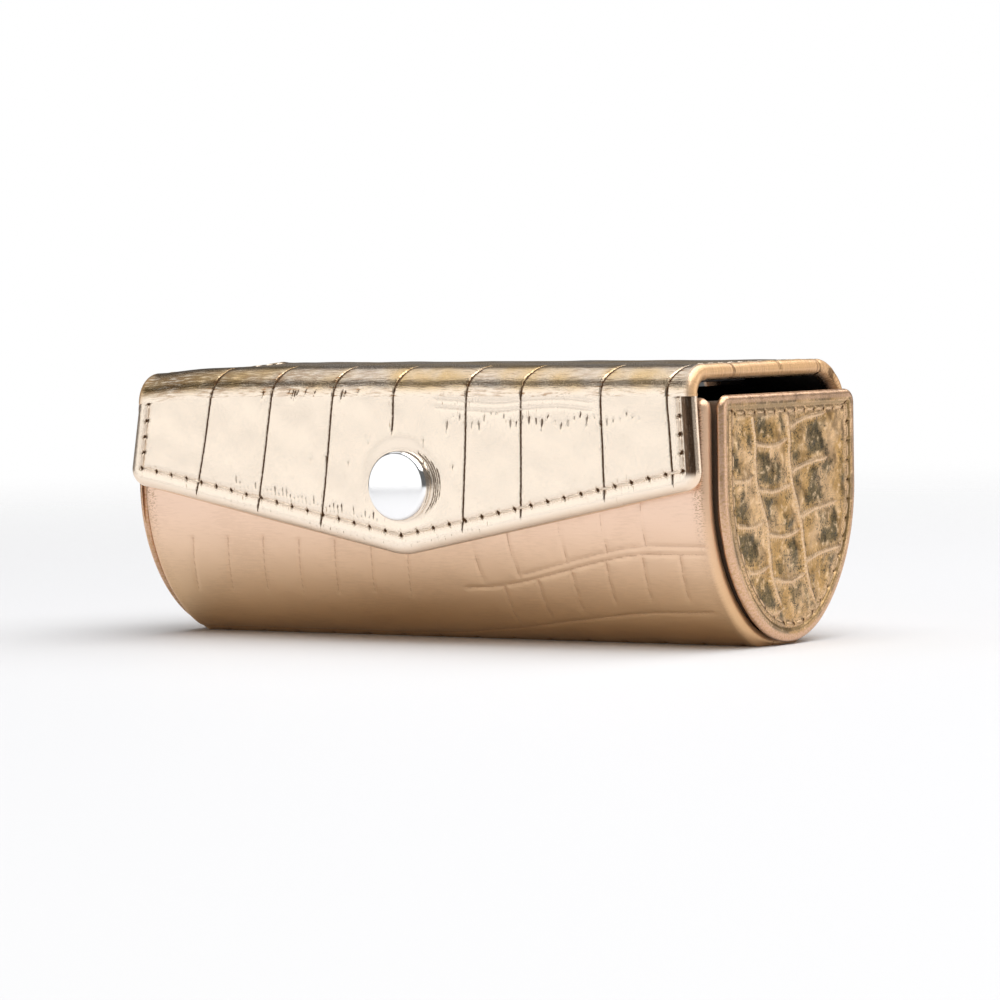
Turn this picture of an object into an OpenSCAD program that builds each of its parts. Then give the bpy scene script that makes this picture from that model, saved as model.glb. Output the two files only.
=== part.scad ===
// Lipstick case: a stiff leather-covered U-shaped shell with D-shaped end panels,
// a leather-hinged lid with a mirror, and a pointed front flap closed by a snap.
// X runs along the case, Y from the flap (-) to the hinge (+), Z up from the rest surface.

/* [Shell] */
// Length over both end panels
case_len = 95; // [80:1:120]
// Half of the shell's depth
shell_r = 18.5; // [16:0.5:22]
// Width of the flat that the case rests on
rest_flat = 9; // [5:1:9]
// Height of the shell's front lip
lip_z = 33; // [30:0.5:36]

/* [Layers] */
// Thickness of the cover leather
leather_t = 1; // [0.9:0.1:1.1]
// Thickness of the stiffening board
board_t = 0.7; // [0.7:0.1:0.9]
// Thickness of the lining
lining_t = 0.4; // [0.3:0.1:0.5]

/* [End panels] */
// Gap between the shell's end and the panel's leather
groove_w = 0.55; // [0.3:0.05:1]
// Thickness of the padded outer panel
panel_t = 1.3; // [1.2:0.1:2]
// How far the panel's outline lies inside the shell's skin
panel_inset = 1; // [0.5:0.1:1.5]
// Height of the panel's top edge
panel_z = 33.3; // [30:0.1:36]

/* [Lid] */
// Length of the lid along the case
lid_len = 90; // [76:1:112]
// Height of the lid's top
lid_z = 37.3; // [36:0.1:41]
// Outer radius of the leather hinge at the back
hinge_r = 6; // [4:0.1:7]
// Outer radius of the crease at the front
crease_r = 4; // [3.5:0.1:5]

/* [Flap] */
// How much longer the flap is at its lower corners than at the crease
flap_flare = 1.8; // [0:0.1:4]
// Sideways lean of the flap's tip and snap
flap_lean = -0.8; // [-1:0.1:1]
// Height of the flap's lower corners
flap_corner_z = 21.4; // [19:0.1:24]
// Height of the flap's pointed tip
flap_tip_z = 12; // [10:0.1:16]

/* [Snap] */
// Diameter of the domed snap cap
cap_d = 9.8; // [8:0.1:12.5]
// Height of the snap above the rest surface
snap_z = 21.4; // [20.8:0.1:24]

/* [Mirror] */
// Length of the mirror
mirror_len = 70; // [50:1:80]
// Width of the mirror
mirror_w = 22; // [16:1:24]

/* [Hidden] */

$fn = 96;
eps = 0.01;

// Colours of the layers and the metal
leather_color = [0.87, 0.72, 0.60];
board_color = [0.55, 0.50, 0.44];
lining_color = [0.07, 0.06, 0.06];
thread_color = [0.80, 0.62, 0.47];
metal_color = [0.86, 0.87, 0.88];

// The shell's wall
wall_t = leather_t + board_t + lining_t;

// The shell's U: straight walls, flanks of a larger radius, and a nose of a smaller radius at
// the bottom. The centres of flank and nose lie on a ray of a 3-4-5 triangle, so that the
// arcs meet exactly.
centre_gap = 8;
seam_ray = [-0.6, -0.8];
flank_r = shell_r + 0.6 * centre_gap;
nose_r = shell_r - 0.4 * centre_gap;
flank_turn = acos(0.6);
nose_z = round(1000 * sqrt(pow(nose_r, 2) - pow(rest_flat / 2, 2))) / 1000;
wall_z = nose_z + 0.8 * centre_gap;

shell_end = case_len / 2 - panel_t - groove_w;
edge_wrap = 1;          // leather turned over the board's ends
edge_r = 1.1;           // rounding of the shell's turned end edges
lip_hem = 4;            // height of the hem turned inside the front lip

// End panels: a core inside the shell carries the padded outer panel across the groove
core_depth = 1.8;
glue_line = 0.15;       // glue round the core
core_inset = wall_t + glue_line;
core_z = lip_z - 0.5;
panel_back = shell_end + groove_w;
panel_rim = 1.9;        // inset of the panel's face and board from its outline at the rim
panel_skin = 0.7;       // leather over the panel's board
panel_corner = 1.8;     // radius of the two top corners

// The lid's back edge, front edge and the two bends
hinge_y = shell_r - hinge_r;
hinge_z = lid_z - hinge_r;
flap_gap = 0.15;        // between the flap and the shell's front
flap_front = -(shell_r + flap_gap + wall_t);
crease_y = flap_front + crease_r;
crease_z = lid_z - crease_r;
lid_lining_inset = 3;

// The flap's corners at each side, in x and z
corner_lean = -0.2;
flap_left = corner_lean - (lid_len + flap_flare) / 2;
flap_right = corner_lean + (lid_len + flap_flare) / 2;
flap_corner_r = 2.6;
flap_tip_r = 9;

// Snap, from its cap on the flap to its stud on the shell
cap_h = 1.4;
cap_rim = 0.55;
cap_post_r = 1.1;
socket_r = 4.3;
socket_bore_r = 3;
socket_floor = 0.25;
spring_r = 0.2;
stud_r = 2.2;
stud_h = 0.8;
stud_flange_r = 3.3;
stud_flange_t = 0.35;
stud_post_r = 1;
washer_r = 3.3;
washer_t = 0.5;

// Mirror stack, hung from the lid's lining
mirror_pad_t = 0.3;
mirror_backing_t = 0.15;
mirror_glass_t = 1;
mirror_corner = 2;
mirror_y = 0;

// Stitches
stitch_pitch = 2.6;
stitch_len = 2;
stitch_r = 0.25;
stitch_inset = 2.2;
panel_stitch_inset = 2.8;

// Depth of the whole case, from the snap's cap to the hinge side, is centred on Y
case_front = flap_front - cap_h;
y_shift = -(case_front + shell_r) / 2;

// ---------------------------------------------------------------- helpers

// Points of an arc
function arc(c, r, a0, a1, n) =
  [for (i = [0:n]) let (a = a0 + (a1 - a0) * i / n) [c[0] + r * cos(a), c[1] + r * sin(a)]];

// Where two lines meet, each given by a point and a direction
function cross2(a, b) = a[0] * b[1] - a[1] * b[0];
function meet(p, d, q, e) = p + d * (cross2(q - p, e) / cross2(d, e));

// Corners of an anticlockwise outline after each edge i, from point i to i + 1, moves in by t[i]
function unit(v) = v / norm(v);
function inward(d) = [-d[1], d[0]];
function inset_corners(p, t) =
  [for (i = [0:len(p) - 1])
    let (n = len(p), h = (i + n - 1) % n,
         d0 = unit(p[i] - p[h]), d1 = unit(p[(i + 1) % n] - p[i]))
    meet(p[h] + inward(d0) * t[h], d0, p[i] + inward(d1) * t[i], d1)];

// Anticlockwise outline with its corner i rounded to radius r[i], or kept sharp at 0
function round_corner(a, b, c, r) =
  r <= 0 ? [b] :
  let (d0 = unit(b - a), d1 = unit(c - b), turn = acos(d0 * d1),
       start = b - d0 * r * tan(turn / 2), centre = start + inward(d0) * r,
       a0 = atan2(-inward(d0)[1], -inward(d0)[0]))
  arc(centre, r, a0, a0 + turn, max(3, ceil(turn / 9)));
function rounded(p, r) =
  [for (i = [0:len(p) - 1])
    each round_corner(p[(i + len(p) - 1) % len(p)], p[i], p[(i + 1) % len(p)], r[i])];

// 2D shapes in (y, z), drawn along x from x0 to x1
module along_x(x0, x1) {
  translate([x0, 0, 0]) rotate([90, 0, 90]) linear_extrude(x1 - x0) children();
}

// 2D shapes in (x, z), drawn along y from y0 to y1
module along_y(y0, y1) {
  translate([0, y1, 0]) rotate([90, 0, 0]) linear_extrude(y1 - y0) children();
}

// A box from one corner to the other
module block(a, b) {
  translate(a) cube(b - a);
}

// A 2D section turned about the axis along X through (y, z), where its x is the distance from
// that axis, and kept in the wedge between the rays from the axis towards a and b, in (y, z)
module turned(y, z, a, b) {
  translate([0, y, z]) intersection() {
    rotate([0, 90, 0]) rotate_extrude() children();
    along_x(-case_len, case_len) polygon([[0, 0], case_len * a, case_len * b]);
  }
}

// A 2D section, with x as minus the depth below the shell's skin and y along the case,
// run down the front wall, round the bottom and up the back wall
module u_sweep(front_top, back_top) {
  for (side = [0, 1]) mirror([0, side, 0]) {
    translate([0, 0, wall_z]) rotate([0, 0, -90])
      linear_extrude((side == 0 ? front_top : back_top) - wall_z)
        translate([shell_r, 0]) children();
    turned(flank_r - shell_r, wall_z, [-1, 0], seam_ray) translate([flank_r, 0]) children();
  }
  turned(0, nose_z, seam_ray, [-seam_ray[0], seam_ray[1]]) translate([nose_r, 0]) children();
}

// Everything that lies above the rest surface
module above_rest() {
  intersection() {
    children();
    block([-case_len, -case_len, 0], [case_len, case_len, case_len]);
  }
}

// ------------------------------------------------------------------ shell

// Section of the wall with turned, rounded ends
module wall_section() {
  translate([-wall_t, -shell_end]) square([wall_t - edge_r, 2 * shell_end]);
  translate([-edge_r - eps, edge_r - shell_end]) square([edge_r + eps, 2 * (shell_end - edge_r)]);
  for (side = [-1, 1]) translate([-edge_r, side * (shell_end - edge_r)]) circle(edge_r);
}

// Everything below the hinge, with the front lip rolled over the top of the wall
module lip_roll() {
  roll_r = 0.62 * wall_t;
  roll_y = wall_t / 2 - shell_r;
  along_x(-case_len, case_len) {
    translate([-case_len, -eps]) square([2 * case_len, lip_z - roll_r]);
    translate([roll_y, lip_z - roll_r]) circle(roll_r);
    translate([0, 0]) square([case_len, hinge_z + 1]);
  }
}

module board_space() {
  half = shell_end - edge_wrap;
  above_rest() u_sweep(lip_z - wall_t / 2, hinge_z - 0.6)
    translate([-leather_t - board_t, -half]) square([board_t, 2 * half]);
}

module lining_space() {
  half = shell_end - edge_wrap;
  u_sweep(lip_z - lip_hem, hinge_z)
    translate([-wall_t, -half]) square([lining_t, 2 * half]);
}

// Holes through the front wall for the stud's flange, post and washer
module stud_space() {
  translate([flap_lean, -shell_r, snap_z]) rotate([-90, 0, 0]) {
    translate([0, 0, -1]) cylinder(h = 1 + stud_flange_t, r = stud_flange_r);
    cylinder(h = leather_t + board_t, r = stud_post_r);
    translate([0, 0, leather_t + board_t - washer_t]) cylinder(h = washer_t, r = washer_r);
  }
}

module shell_leather() {
  color(leather_color) translate([0, y_shift, 0]) difference() {
    above_rest() intersection() {
      u_sweep(lip_z, hinge_z) wall_section();
      lip_roll();
    }
    board_space();
    lining_space();
    stud_space();
  }
}

module shell_board() {
  color(board_color) translate([0, y_shift, 0]) difference() {
    board_space();
    stud_space();
  }
}

module shell_lining() {
  color(lining_color) translate([0, y_shift, 0]) lining_space();
}

// ------------------------------------------------------------- end panels

// D-shaped outline in (y, z), inset from the shell's skin: the U below and a flat top
function d_outline(inset, top, corner) =
  let (half = shell_r - inset, flank_y = flank_r - shell_r, nose_a = 180 + flank_turn)
  concat(
    arc([flank_y, wall_z], flank_r - inset, 180, nose_a, 16),
    arc([0, nose_z], nose_r - inset, nose_a, 540 - nose_a, 16),
    arc([-flank_y, wall_z], flank_r - inset, 540 - nose_a, 360, 16),
    arc([half - corner, top - corner], corner, 0, 90, 6),
    arc([corner - half, top - corner], corner, 90, 180, 6));

// D that fits inside the shell
module core_shape() {
  polygon(d_outline(core_inset, core_z, 0.5));
}

module end_core() {
  color(board_color) translate([0, y_shift, 0])
    along_x(shell_end - core_depth, panel_back) core_shape();
}

module end_lining() {
  x1 = shell_end - core_depth;
  color(lining_color) translate([0, y_shift, 0]) along_x(x1 - lining_t, x1) core_shape();
}

// Board inside the padded panel
module panel_board_space() {
  along_x(panel_back, case_len / 2 - panel_skin)
    polygon(d_outline(panel_inset + panel_rim, panel_z - panel_rim, panel_corner / 2));
}

module end_board() {
  color(board_color) translate([0, y_shift, 0]) panel_board_space();
}

// Padded skin: slices of the D from the turned back edge over the rim to the face
module end_leather() {
  slice_t = 0.02;
  // Depth behind the face, and inset from the panel's outline
  slices = [[panel_t, 0.5], [panel_t * 0.82, 0.12], [panel_t * 0.6, 0], [panel_t * 0.36, 0.12],
            [panel_t * 0.16, 0.5], [slice_t, 1.2]];
  color(leather_color) translate([0, y_shift, 0]) difference() {
    hull() for (s = slices)
      along_x(case_len / 2 - s[0], case_len / 2 - s[0] + slice_t)
        polygon(d_outline(panel_inset + s[1], panel_z - s[1], panel_corner));
    panel_board_space();
  }
}

// One stitch: a half-round thread lying along X on the plane z = 0
module stitch() {
  translate([-stitch_len / 2, 0, 0]) rotate([90, 0, 90]) linear_extrude(stitch_len)
    intersection() {
      circle(stitch_r, $fn = 24);
      translate([-stitch_r, 0]) square([2 * stitch_r, stitch_r]);
    }
}

// A run of stitches in the plane z = 0 from p to q, evenly spaced near the pitch
module stitch_run(p, q) {
  count = max(1, round(norm(q - p) / stitch_pitch));
  heading = atan2(q[1] - p[1], q[0] - p[0]);
  for (i = [0:count - 1]) translate(p + (q - p) * (i + 0.5) / count)
    rotate([0, 0, heading]) stitch();
}

// A run of stitches in the plane z = 0 round an arc
module stitch_arc(c, r, a0, a1) {
  count = max(1, round(PI * r * (a1 - a0) / 180 / stitch_pitch));
  translate([c[0], c[1], 0]) for (i = [0:count - 1])
    rotate([0, 0, a0 + (a1 - a0) * (i + 0.5) / count]) translate([r, 0, 0])
      rotate([0, 0, 90]) stitch();
}

// Stitches round the panel's face: both sides, the top and the U below
module end_stitching() {
  inset = panel_inset + panel_stitch_inset;
  half = shell_r - inset;
  top = panel_z - panel_stitch_inset;
  flank_y = flank_r - shell_r;
  nose_a = 180 + flank_turn;
  color(thread_color) translate([case_len / 2, y_shift, 0]) rotate([90, 0, 90]) {
    stitch_run([-half, top], [-half, wall_z]);
    stitch_run([half, wall_z], [half, top]);
    stitch_run([half - 1, top], [1 - half, top]);
    stitch_arc([flank_y, wall_z], flank_r - inset, 180, nose_a);
    stitch_arc([0, nose_z], nose_r - inset, nose_a, 540 - nose_a);
    stitch_arc([-flank_y, wall_z], flank_r - inset, 540 - nose_a, 360);
  }
}

module left_end_core() { mirror([1, 0, 0]) end_core(); }
module left_end_board() { mirror([1, 0, 0]) end_board(); }
module left_end_leather() { mirror([1, 0, 0]) end_leather(); }
module left_end_lining() { mirror([1, 0, 0]) end_lining(); }
module left_end_stitching() { mirror([1, 0, 0]) end_stitching(); }
module right_end_core() { end_core(); }
module right_end_board() { end_board(); }
module right_end_leather() { end_leather(); }
module right_end_lining() { end_lining(); }
module right_end_stitching() { end_stitching(); }

// ---------------------------------------------------------- hinge and crease

// A quarter of a bent layer about (y, z), from inner radius r0 to outer radius r1
module bend(y, z, r0, r1, len, back) {
  translate([0, y, z]) mirror([0, back ? 0 : 1, 0]) rotate([90, 0, 90])
    translate([0, 0, -len / 2]) intersection() {
      difference() {
        cylinder(h = len, r = r1);
        translate([0, 0, -1]) cylinder(h = len + 2, r = r0);
      }
      translate([0, 0, -1]) cube([r1 + 1, r1 + 1, len + 2]);
    }
}

module hinge_leather() {
  color(leather_color) translate([0, y_shift, 0])
    bend(hinge_y, hinge_z, hinge_r - leather_t, hinge_r, lid_len, true);
}

module hinge_lining() {
  r1 = hinge_r - leather_t;
  color(lining_color) translate([0, y_shift, 0])
    bend(hinge_y, hinge_z, r1 - lining_t, r1, lid_len - 2 * lid_lining_inset, true);
}

module crease_leather() {
  color(leather_color) translate([0, y_shift, 0])
    bend(crease_y, crease_z, crease_r - leather_t, crease_r, lid_len, false);
}

module crease_lining() {
  r1 = crease_r - leather_t;
  color(lining_color) translate([0, y_shift, 0])
    bend(crease_y, crease_z, r1 - lining_t, r1, lid_len - 2 * lid_lining_inset, false);
}

// -------------------------------------------------------------------- lid

module lid_board_space() {
  half = lid_len / 2 - edge_wrap;
  block([-half, crease_y, lid_z - leather_t - board_t], [half, hinge_y, lid_z - leather_t]);
}

module lid_lining_space() {
  half = lid_len / 2 - lid_lining_inset;
  block([-half, crease_y, lid_z - wall_t], [half, hinge_y, lid_z - wall_t + lining_t]);
}

// Slab with half-round turned edges at both ends
module lid_leather() {
  round_r = wall_t / 2;
  half = lid_len / 2 - round_r;
  color(leather_color) translate([0, y_shift, 0]) difference() {
    along_y(crease_y, hinge_y) {
      translate([-half, lid_z - wall_t]) square([2 * half, wall_t]);
      for (side = [-1, 1]) translate([side * half, lid_z - round_r]) circle(round_r);
    }
    lid_board_space();
    lid_lining_space();
  }
}

module lid_board() {
  color(board_color) translate([0, y_shift, 0]) lid_board_space();
}

module lid_lining() {
  color(lining_color) translate([0, y_shift, 0]) lid_lining_space();
}

module lid_stitching() {
  x = lid_len / 2 - stitch_inset;
  color(thread_color) translate([0, y_shift, lid_z]) for (side = [-1, 1])
    stitch_run([side * x, hinge_y - 1], [side * x, crease_y + 0.5]);
}

// ----------------------------------------------------------------- mirror

// A plate of the mirror's outline, grown by g, between two heights
module mirror_plate(z0, z1, g) {
  x = mirror_len / 2 + g - mirror_corner;
  y = mirror_w / 2 + g - mirror_corner;
  translate([0, mirror_y + y_shift, z0]) linear_extrude(z1 - z0) {
    square([2 * x, 2 * (y + mirror_corner)], center = true);
    square([2 * (x + mirror_corner), 2 * y], center = true);
    for (sx = [-1, 1]) for (sy = [-1, 1]) translate([sx * x, sy * y]) circle(mirror_corner);
  }
}

mirror_top = lid_z - wall_t;
module mirror_pad() {
  color("dimgray") mirror_plate(mirror_top - mirror_pad_t, mirror_top, -3);
}

module mirror_backing() {
  z1 = mirror_top - mirror_pad_t;
  color("gray") mirror_plate(z1 - mirror_backing_t, z1, 0);
}

module mirror_glass() {
  z1 = mirror_top - mirror_pad_t - mirror_backing_t;
  color([0.75, 0.82, 0.85]) mirror_plate(z1 - mirror_glass_t, z1, 0);
}

// ------------------------------------------------------------------- flap

// The flap's corners in (x, z), anticlockwise from the crease's left end
flap_corners = [
  [-lid_len / 2, crease_z], [flap_left, flap_corner_z], [flap_lean, flap_tip_z],
  [flap_right, flap_corner_z], [lid_len / 2, crease_z]];

// The flap's outline with every free edge moved in by t, while the crease edge stays
function flap_outline(t) = rounded(
  inset_corners(flap_corners, [t, t, t, t, 0]),
  [0, max(0.4, flap_corner_r - t), max(0.4, flap_tip_r - t), max(0.4, flap_corner_r - t), 0]);

flap_back = flap_front + wall_t;
module flap_board_space() {
  along_y(flap_front + leather_t, flap_front + leather_t + board_t)
    polygon(flap_outline(edge_wrap));
}

module flap_lining_space() {
  along_y(flap_back - lining_t, flap_back) polygon(flap_outline(lid_lining_inset));
}

// Holes through the flap for the cap's post and the socket
module socket_space() {
  translate([flap_lean, flap_front, snap_z]) rotate([-90, 0, 0]) {
    translate([0, 0, -1]) cylinder(h = 1 + leather_t, r = cap_post_r);
    translate([0, 0, leather_t]) cylinder(h = wall_t, r = socket_r);
  }
}

// Slab with rolled free edges, from its back to its front
module flap_leather() {
  slice_t = 0.02;
  // Depth behind the front face, and inset from the flap's outline
  slices = [[wall_t, 0.5], [wall_t * 0.8, 0.1], [wall_t * 0.55, 0], [wall_t * 0.3, 0.12],
            [wall_t * 0.12, 0.45], [slice_t, 1]];
  color(leather_color) translate([0, y_shift, 0]) difference() {
    hull() for (s = slices) along_y(flap_front + s[0] - slice_t, flap_front + s[0])
      polygon(flap_outline(s[1]));
    flap_board_space();
    flap_lining_space();
    socket_space();
  }
}

module flap_board() {
  color(board_color) translate([0, y_shift, 0]) difference() {
    flap_board_space();
    socket_space();
  }
}

module flap_lining() {
  color(lining_color) translate([0, y_shift, 0]) difference() {
    flap_lining_space();
    socket_space();
  }
}

// Stitches inside the flap's sides and along both slopes of its point
module flap_stitching() {
  p = inset_corners(flap_corners, [for (i = [0:4]) stitch_inset]);
  color(thread_color) translate([0, flap_front + y_shift, 0]) rotate([90, 0, 0])
    for (i = [0:3]) stitch_run(p[i], p[i + 1]);
}

// ------------------------------------------------------------------- snap

// Snap pieces are turned about an axis that points from the flap into the case
module on_snap_axis(y) {
  translate([flap_lean, y + y_shift, snap_z]) rotate([-90, 0, 0]) children();
}

// Domed cap with a rolled rim, and its post through the leather
module snap_cap() {
  dome_r = (pow(cap_d / 2 - 0.3, 2) + pow(cap_h - cap_rim / 2, 2)) / (2 * (cap_h - cap_rim / 2));
  color(metal_color) on_snap_axis(flap_front) {
    rotate_extrude() {
      intersection() {
        translate([0, dome_r - cap_h]) circle(dome_r);
        translate([0, -cap_h]) square([cap_d / 2 - 0.3, cap_h]);
      }
      translate([cap_d / 2 - cap_rim / 2, -cap_rim / 2]) circle(cap_rim / 2);
      translate([0, -cap_rim]) square([cap_d / 2 - cap_rim / 2, cap_rim]);
    }
    cylinder(h = leather_t, r = cap_post_r);
  }
}

// Cup that the stud enters, with a groove round its bore for the spring
module snap_socket() {
  color(metal_color) on_snap_axis(flap_front + leather_t) {
    difference() {
      cylinder(h = wall_t - leather_t, r = socket_r);
      translate([0, 0, socket_floor]) cylinder(h = wall_t, r = socket_bore_r);
      translate([0, 0, socket_floor + 0.45]) rotate_extrude()
        translate([socket_bore_r - 0.05, 0]) circle(spring_r + 0.02, $fn = 32);
    }
  }
}

// Split ring of spring wire
module snap_spring() {
  color(metal_color) on_snap_axis(flap_front + leather_t)
    translate([0, 0, socket_floor + 0.45]) rotate([0, 0, 20]) rotate_extrude(angle = 320)
      translate([socket_bore_r - 0.05, 0]) circle(spring_r, $fn = 32);
}

// Stud on the shell's front: a low dome, a flange let into the leather and a post
module snap_stud() {
  dome_r = (pow(stud_r, 2) + pow(stud_h, 2)) / (2 * stud_h);
  color(metal_color) on_snap_axis(-shell_r) {
    rotate_extrude() intersection() {
      translate([0, dome_r - stud_h]) circle(dome_r);
      translate([0, -stud_h]) square([stud_r, stud_h + eps]);
    }
    cylinder(h = stud_flange_t, r = stud_flange_r);
    cylinder(h = leather_t + board_t - washer_t, r = stud_post_r);
  }
}

// Disc behind the board that the stud's post is riveted to
module snap_washer() {
  color(metal_color) on_snap_axis(-shell_r + leather_t + board_t - washer_t)
    cylinder(h = washer_t, r = washer_r);
}

// ------------------------------------------------------------------- nodes

shell_board();
shell_leather();
shell_lining();
left_end_core();
left_end_board();
left_end_leather();
left_end_lining();
left_end_stitching();
right_end_core();
right_end_board();
right_end_leather();
right_end_lining();
right_end_stitching();
hinge_leather();
hinge_lining();
snap_stud();
snap_washer();
lid_board();
lid_leather();
lid_lining();
lid_stitching();
mirror_pad();
mirror_backing();
mirror_glass();
crease_leather();
crease_lining();
flap_board();
flap_leather();
flap_lining();
flap_stitching();
snap_cap();
snap_socket();
snap_spring();
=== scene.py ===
import math
import bmesh
import bpy
import numpy as np
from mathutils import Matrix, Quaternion, Vector


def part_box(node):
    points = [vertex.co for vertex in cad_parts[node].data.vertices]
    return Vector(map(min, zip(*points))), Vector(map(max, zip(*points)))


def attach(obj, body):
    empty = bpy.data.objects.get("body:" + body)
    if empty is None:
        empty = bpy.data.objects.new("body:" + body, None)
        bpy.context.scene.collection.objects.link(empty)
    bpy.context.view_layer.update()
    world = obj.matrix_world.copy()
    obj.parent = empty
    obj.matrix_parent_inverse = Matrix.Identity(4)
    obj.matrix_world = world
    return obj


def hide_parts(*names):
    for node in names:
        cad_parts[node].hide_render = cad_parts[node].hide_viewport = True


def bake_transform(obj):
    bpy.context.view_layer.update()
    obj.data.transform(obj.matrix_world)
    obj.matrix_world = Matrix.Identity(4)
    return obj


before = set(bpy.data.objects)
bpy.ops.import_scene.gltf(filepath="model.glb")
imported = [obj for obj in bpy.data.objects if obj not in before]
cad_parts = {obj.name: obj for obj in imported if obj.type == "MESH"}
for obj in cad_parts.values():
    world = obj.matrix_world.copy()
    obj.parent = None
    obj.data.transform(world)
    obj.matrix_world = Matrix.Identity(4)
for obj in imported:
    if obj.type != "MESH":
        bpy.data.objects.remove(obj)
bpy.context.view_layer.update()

# Arrays here are in millimetres, in the frame's axes, and become metres in make_mesh.
# The hide is the one piece of cover leather. Its coordinates are u, along the case, and v, the
# distance along the outer skin: 0 at the flap's crease line, less than 0 down the flap, more
# than 0 over the lid, down the back, round the bottom and up to the front lip.
MM = 0.001


def box_mm(node):
    lo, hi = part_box(node)
    return np.array(lo) / MM, np.array(hi) / MM


# ------------------------------------------------------------------ sizes from the frame

shell_lo, shell_hi = box_mm("shell_leather")
lid_lo, lid_hi = box_mm("lid_leather")
flap_lo, flap_hi = box_mm("flap_leather")
hinge_lo, hinge_hi = box_mm("hinge_leather")
crease_lo, crease_hi = box_mm("crease_leather")
panel_lo, panel_hi = box_mm("right_end_leather")
cap_lo, cap_hi = box_mm("snap_cap")

WALL = lid_hi[2] - lid_lo[2]                 # leather, board and lining together
ROLL = WALL / 2                              # radius of a turned edge
LEATHER = 1.0
LINING = 0.4
HEM = 3.0                                    # width of the leather turned in at an edge
LIP_HEM = 4.0
BEND_HEM = 2.2                               # narrower where the leather bends
SHELL_Y = (shell_lo[1] + shell_hi[1]) / 2
SHELL_R = (shell_hi[1] - shell_lo[1]) / 2
SHELL_END = shell_hi[0]
LIP_Z = shell_hi[2]
LID_HALF = lid_hi[0]
LID_Z = lid_hi[2]
CREASE_R = crease_hi[1] - crease_lo[1]
CREASE_Y, CREASE_Z = crease_hi[1], crease_lo[2]
HINGE_R = hinge_hi[1] - hinge_lo[1]
HINGE_Y, HINGE_Z = hinge_lo[1], hinge_lo[2]
FLAP_Y = flap_lo[1]
CAP_X, CAP_Z = (cap_lo[0] + cap_hi[0]) / 2, (cap_lo[2] + cap_hi[2]) / 2
CAP_R = (cap_hi[2] - cap_lo[2]) / 2

CAP_V = CAP_Z - CREASE_Z

STITCH_PITCH = 2.6
THREAD_HALF, THREAD_R = 1.1, 0.18            # half of a stitch's length, and its radius
SIDE_SEAM_INSET = 2.2
SLOPE_SEAM_INSET = 2.75

# The flap's outline: its corners, how far its sides flare out, and its rounded corners
CORNER_R = 2.6
TIP_R = 9.0
CORNER_Z, TIP_Z = 21.4, 12.0
CORNER_V = CORNER_Z - CREASE_Z
TIP_U, TIP_V = CAP_X, TIP_Z - CREASE_Z
FLAP_ROLL = 1.8
FLAP_SEAM = (SIDE_SEAM_INSET, SLOPE_SEAM_INSET, SLOPE_SEAM_INSET, SIDE_SEAM_INSET)
FLARE_LEFT, FLARE_RIGHT = 1.8, 0.7
FLAP_LEFT = -LID_HALF - FLARE_LEFT
FLAP_RIGHT = LID_HALF + FLARE_RIGHT

# The shell's U, as the design has it: a 3-4-5 triangle joins the centres of flank and nose
CENTRE_GAP = 8.0
REST_HALF = 4.5
FLANK_R = SHELL_R + 0.6 * CENTRE_GAP
NOSE_R = SHELL_R - 0.4 * CENTRE_GAP
NOSE_Z = math.sqrt(NOSE_R ** 2 - REST_HALF ** 2)
WALL_Z = NOSE_Z + 0.8 * CENTRE_GAP
FLANK_TURN = math.acos(0.6)

# ------------------------------------------------------------------ the hide's route


def hide_route():
    """Stretches of the outer skin in (y, z): lines as (start, direction, length) and arcs as
    (centre, radius, start angle, length), all run clockwise seen from +X."""
    offset = FLANK_R - SHELL_R
    right = math.pi / 2
    nose_turn = math.pi - 2 * FLANK_TURN
    return [
        ("arc", (CREASE_Y, CREASE_Z), CREASE_R, 2 * right, CREASE_R * right),
        ("line", (CREASE_Y, LID_Z), (1, 0), HINGE_Y - CREASE_Y),
        ("arc", (HINGE_Y, HINGE_Z), HINGE_R, right, HINGE_R * right),
        ("line", (SHELL_Y + SHELL_R, HINGE_Z), (0, -1), HINGE_Z - WALL_Z),
        ("arc", (SHELL_Y - offset, WALL_Z), FLANK_R, 0, FLANK_R * FLANK_TURN),
        ("arc", (SHELL_Y, NOSE_Z), NOSE_R, -FLANK_TURN, NOSE_R * nose_turn),
        ("arc", (SHELL_Y + offset, WALL_Z), FLANK_R, FLANK_TURN - 2 * right, FLANK_R * FLANK_TURN),
        ("line", (SHELL_Y - SHELL_R, WALL_Z), (0, 1), LIP_Z - WALL_Z),
    ]


ROUTE = hide_route()
V_STOPS = np.concatenate([[0.0], np.cumsum([stretch[-1] for stretch in ROUTE])])
V_LID, V_HINGE, V_BACK, V_FLANK, V_NOSE, V_FRONT, V_WALL, V_LIP = V_STOPS[1:]


def skin(v):
    """Point (y, z) on the outer skin at v, and the outward normal there."""
    y, z = np.full_like(v, FLAP_Y), CREASE_Z + v
    ny, nz = np.full_like(v, -1.0), np.zeros_like(v)
    for stretch, start in zip(ROUTE, V_STOPS):
        on, s = v >= start, v - start
        if stretch[0] == "line":
            _, (y0, z0), (ty, tz), _ = stretch
            y, z = np.where(on, y0 + ty * s, y), np.where(on, z0 + tz * s, z)
            ny, nz = np.where(on, -tz, ny), np.where(on, ty, nz)
        else:
            _, (cy, cz), r, a0, _ = stretch
            a = a0 - s / r
            y, z = np.where(on, cy + r * np.cos(a), y), np.where(on, cz + r * np.sin(a), z)
            ny, nz = np.where(on, np.cos(a), ny), np.where(on, np.sin(a), nz)
    return y, z, ny, nz


DROOP_START, DROOP_RUN = 27.0, 18.0          # from this far left of the middle, and over this
DROOP_SAG, DROOP_CURL = 0.75, 0.3
DROOP_FADE = 12.0                            # how far under the crease the droop dies out


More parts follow.
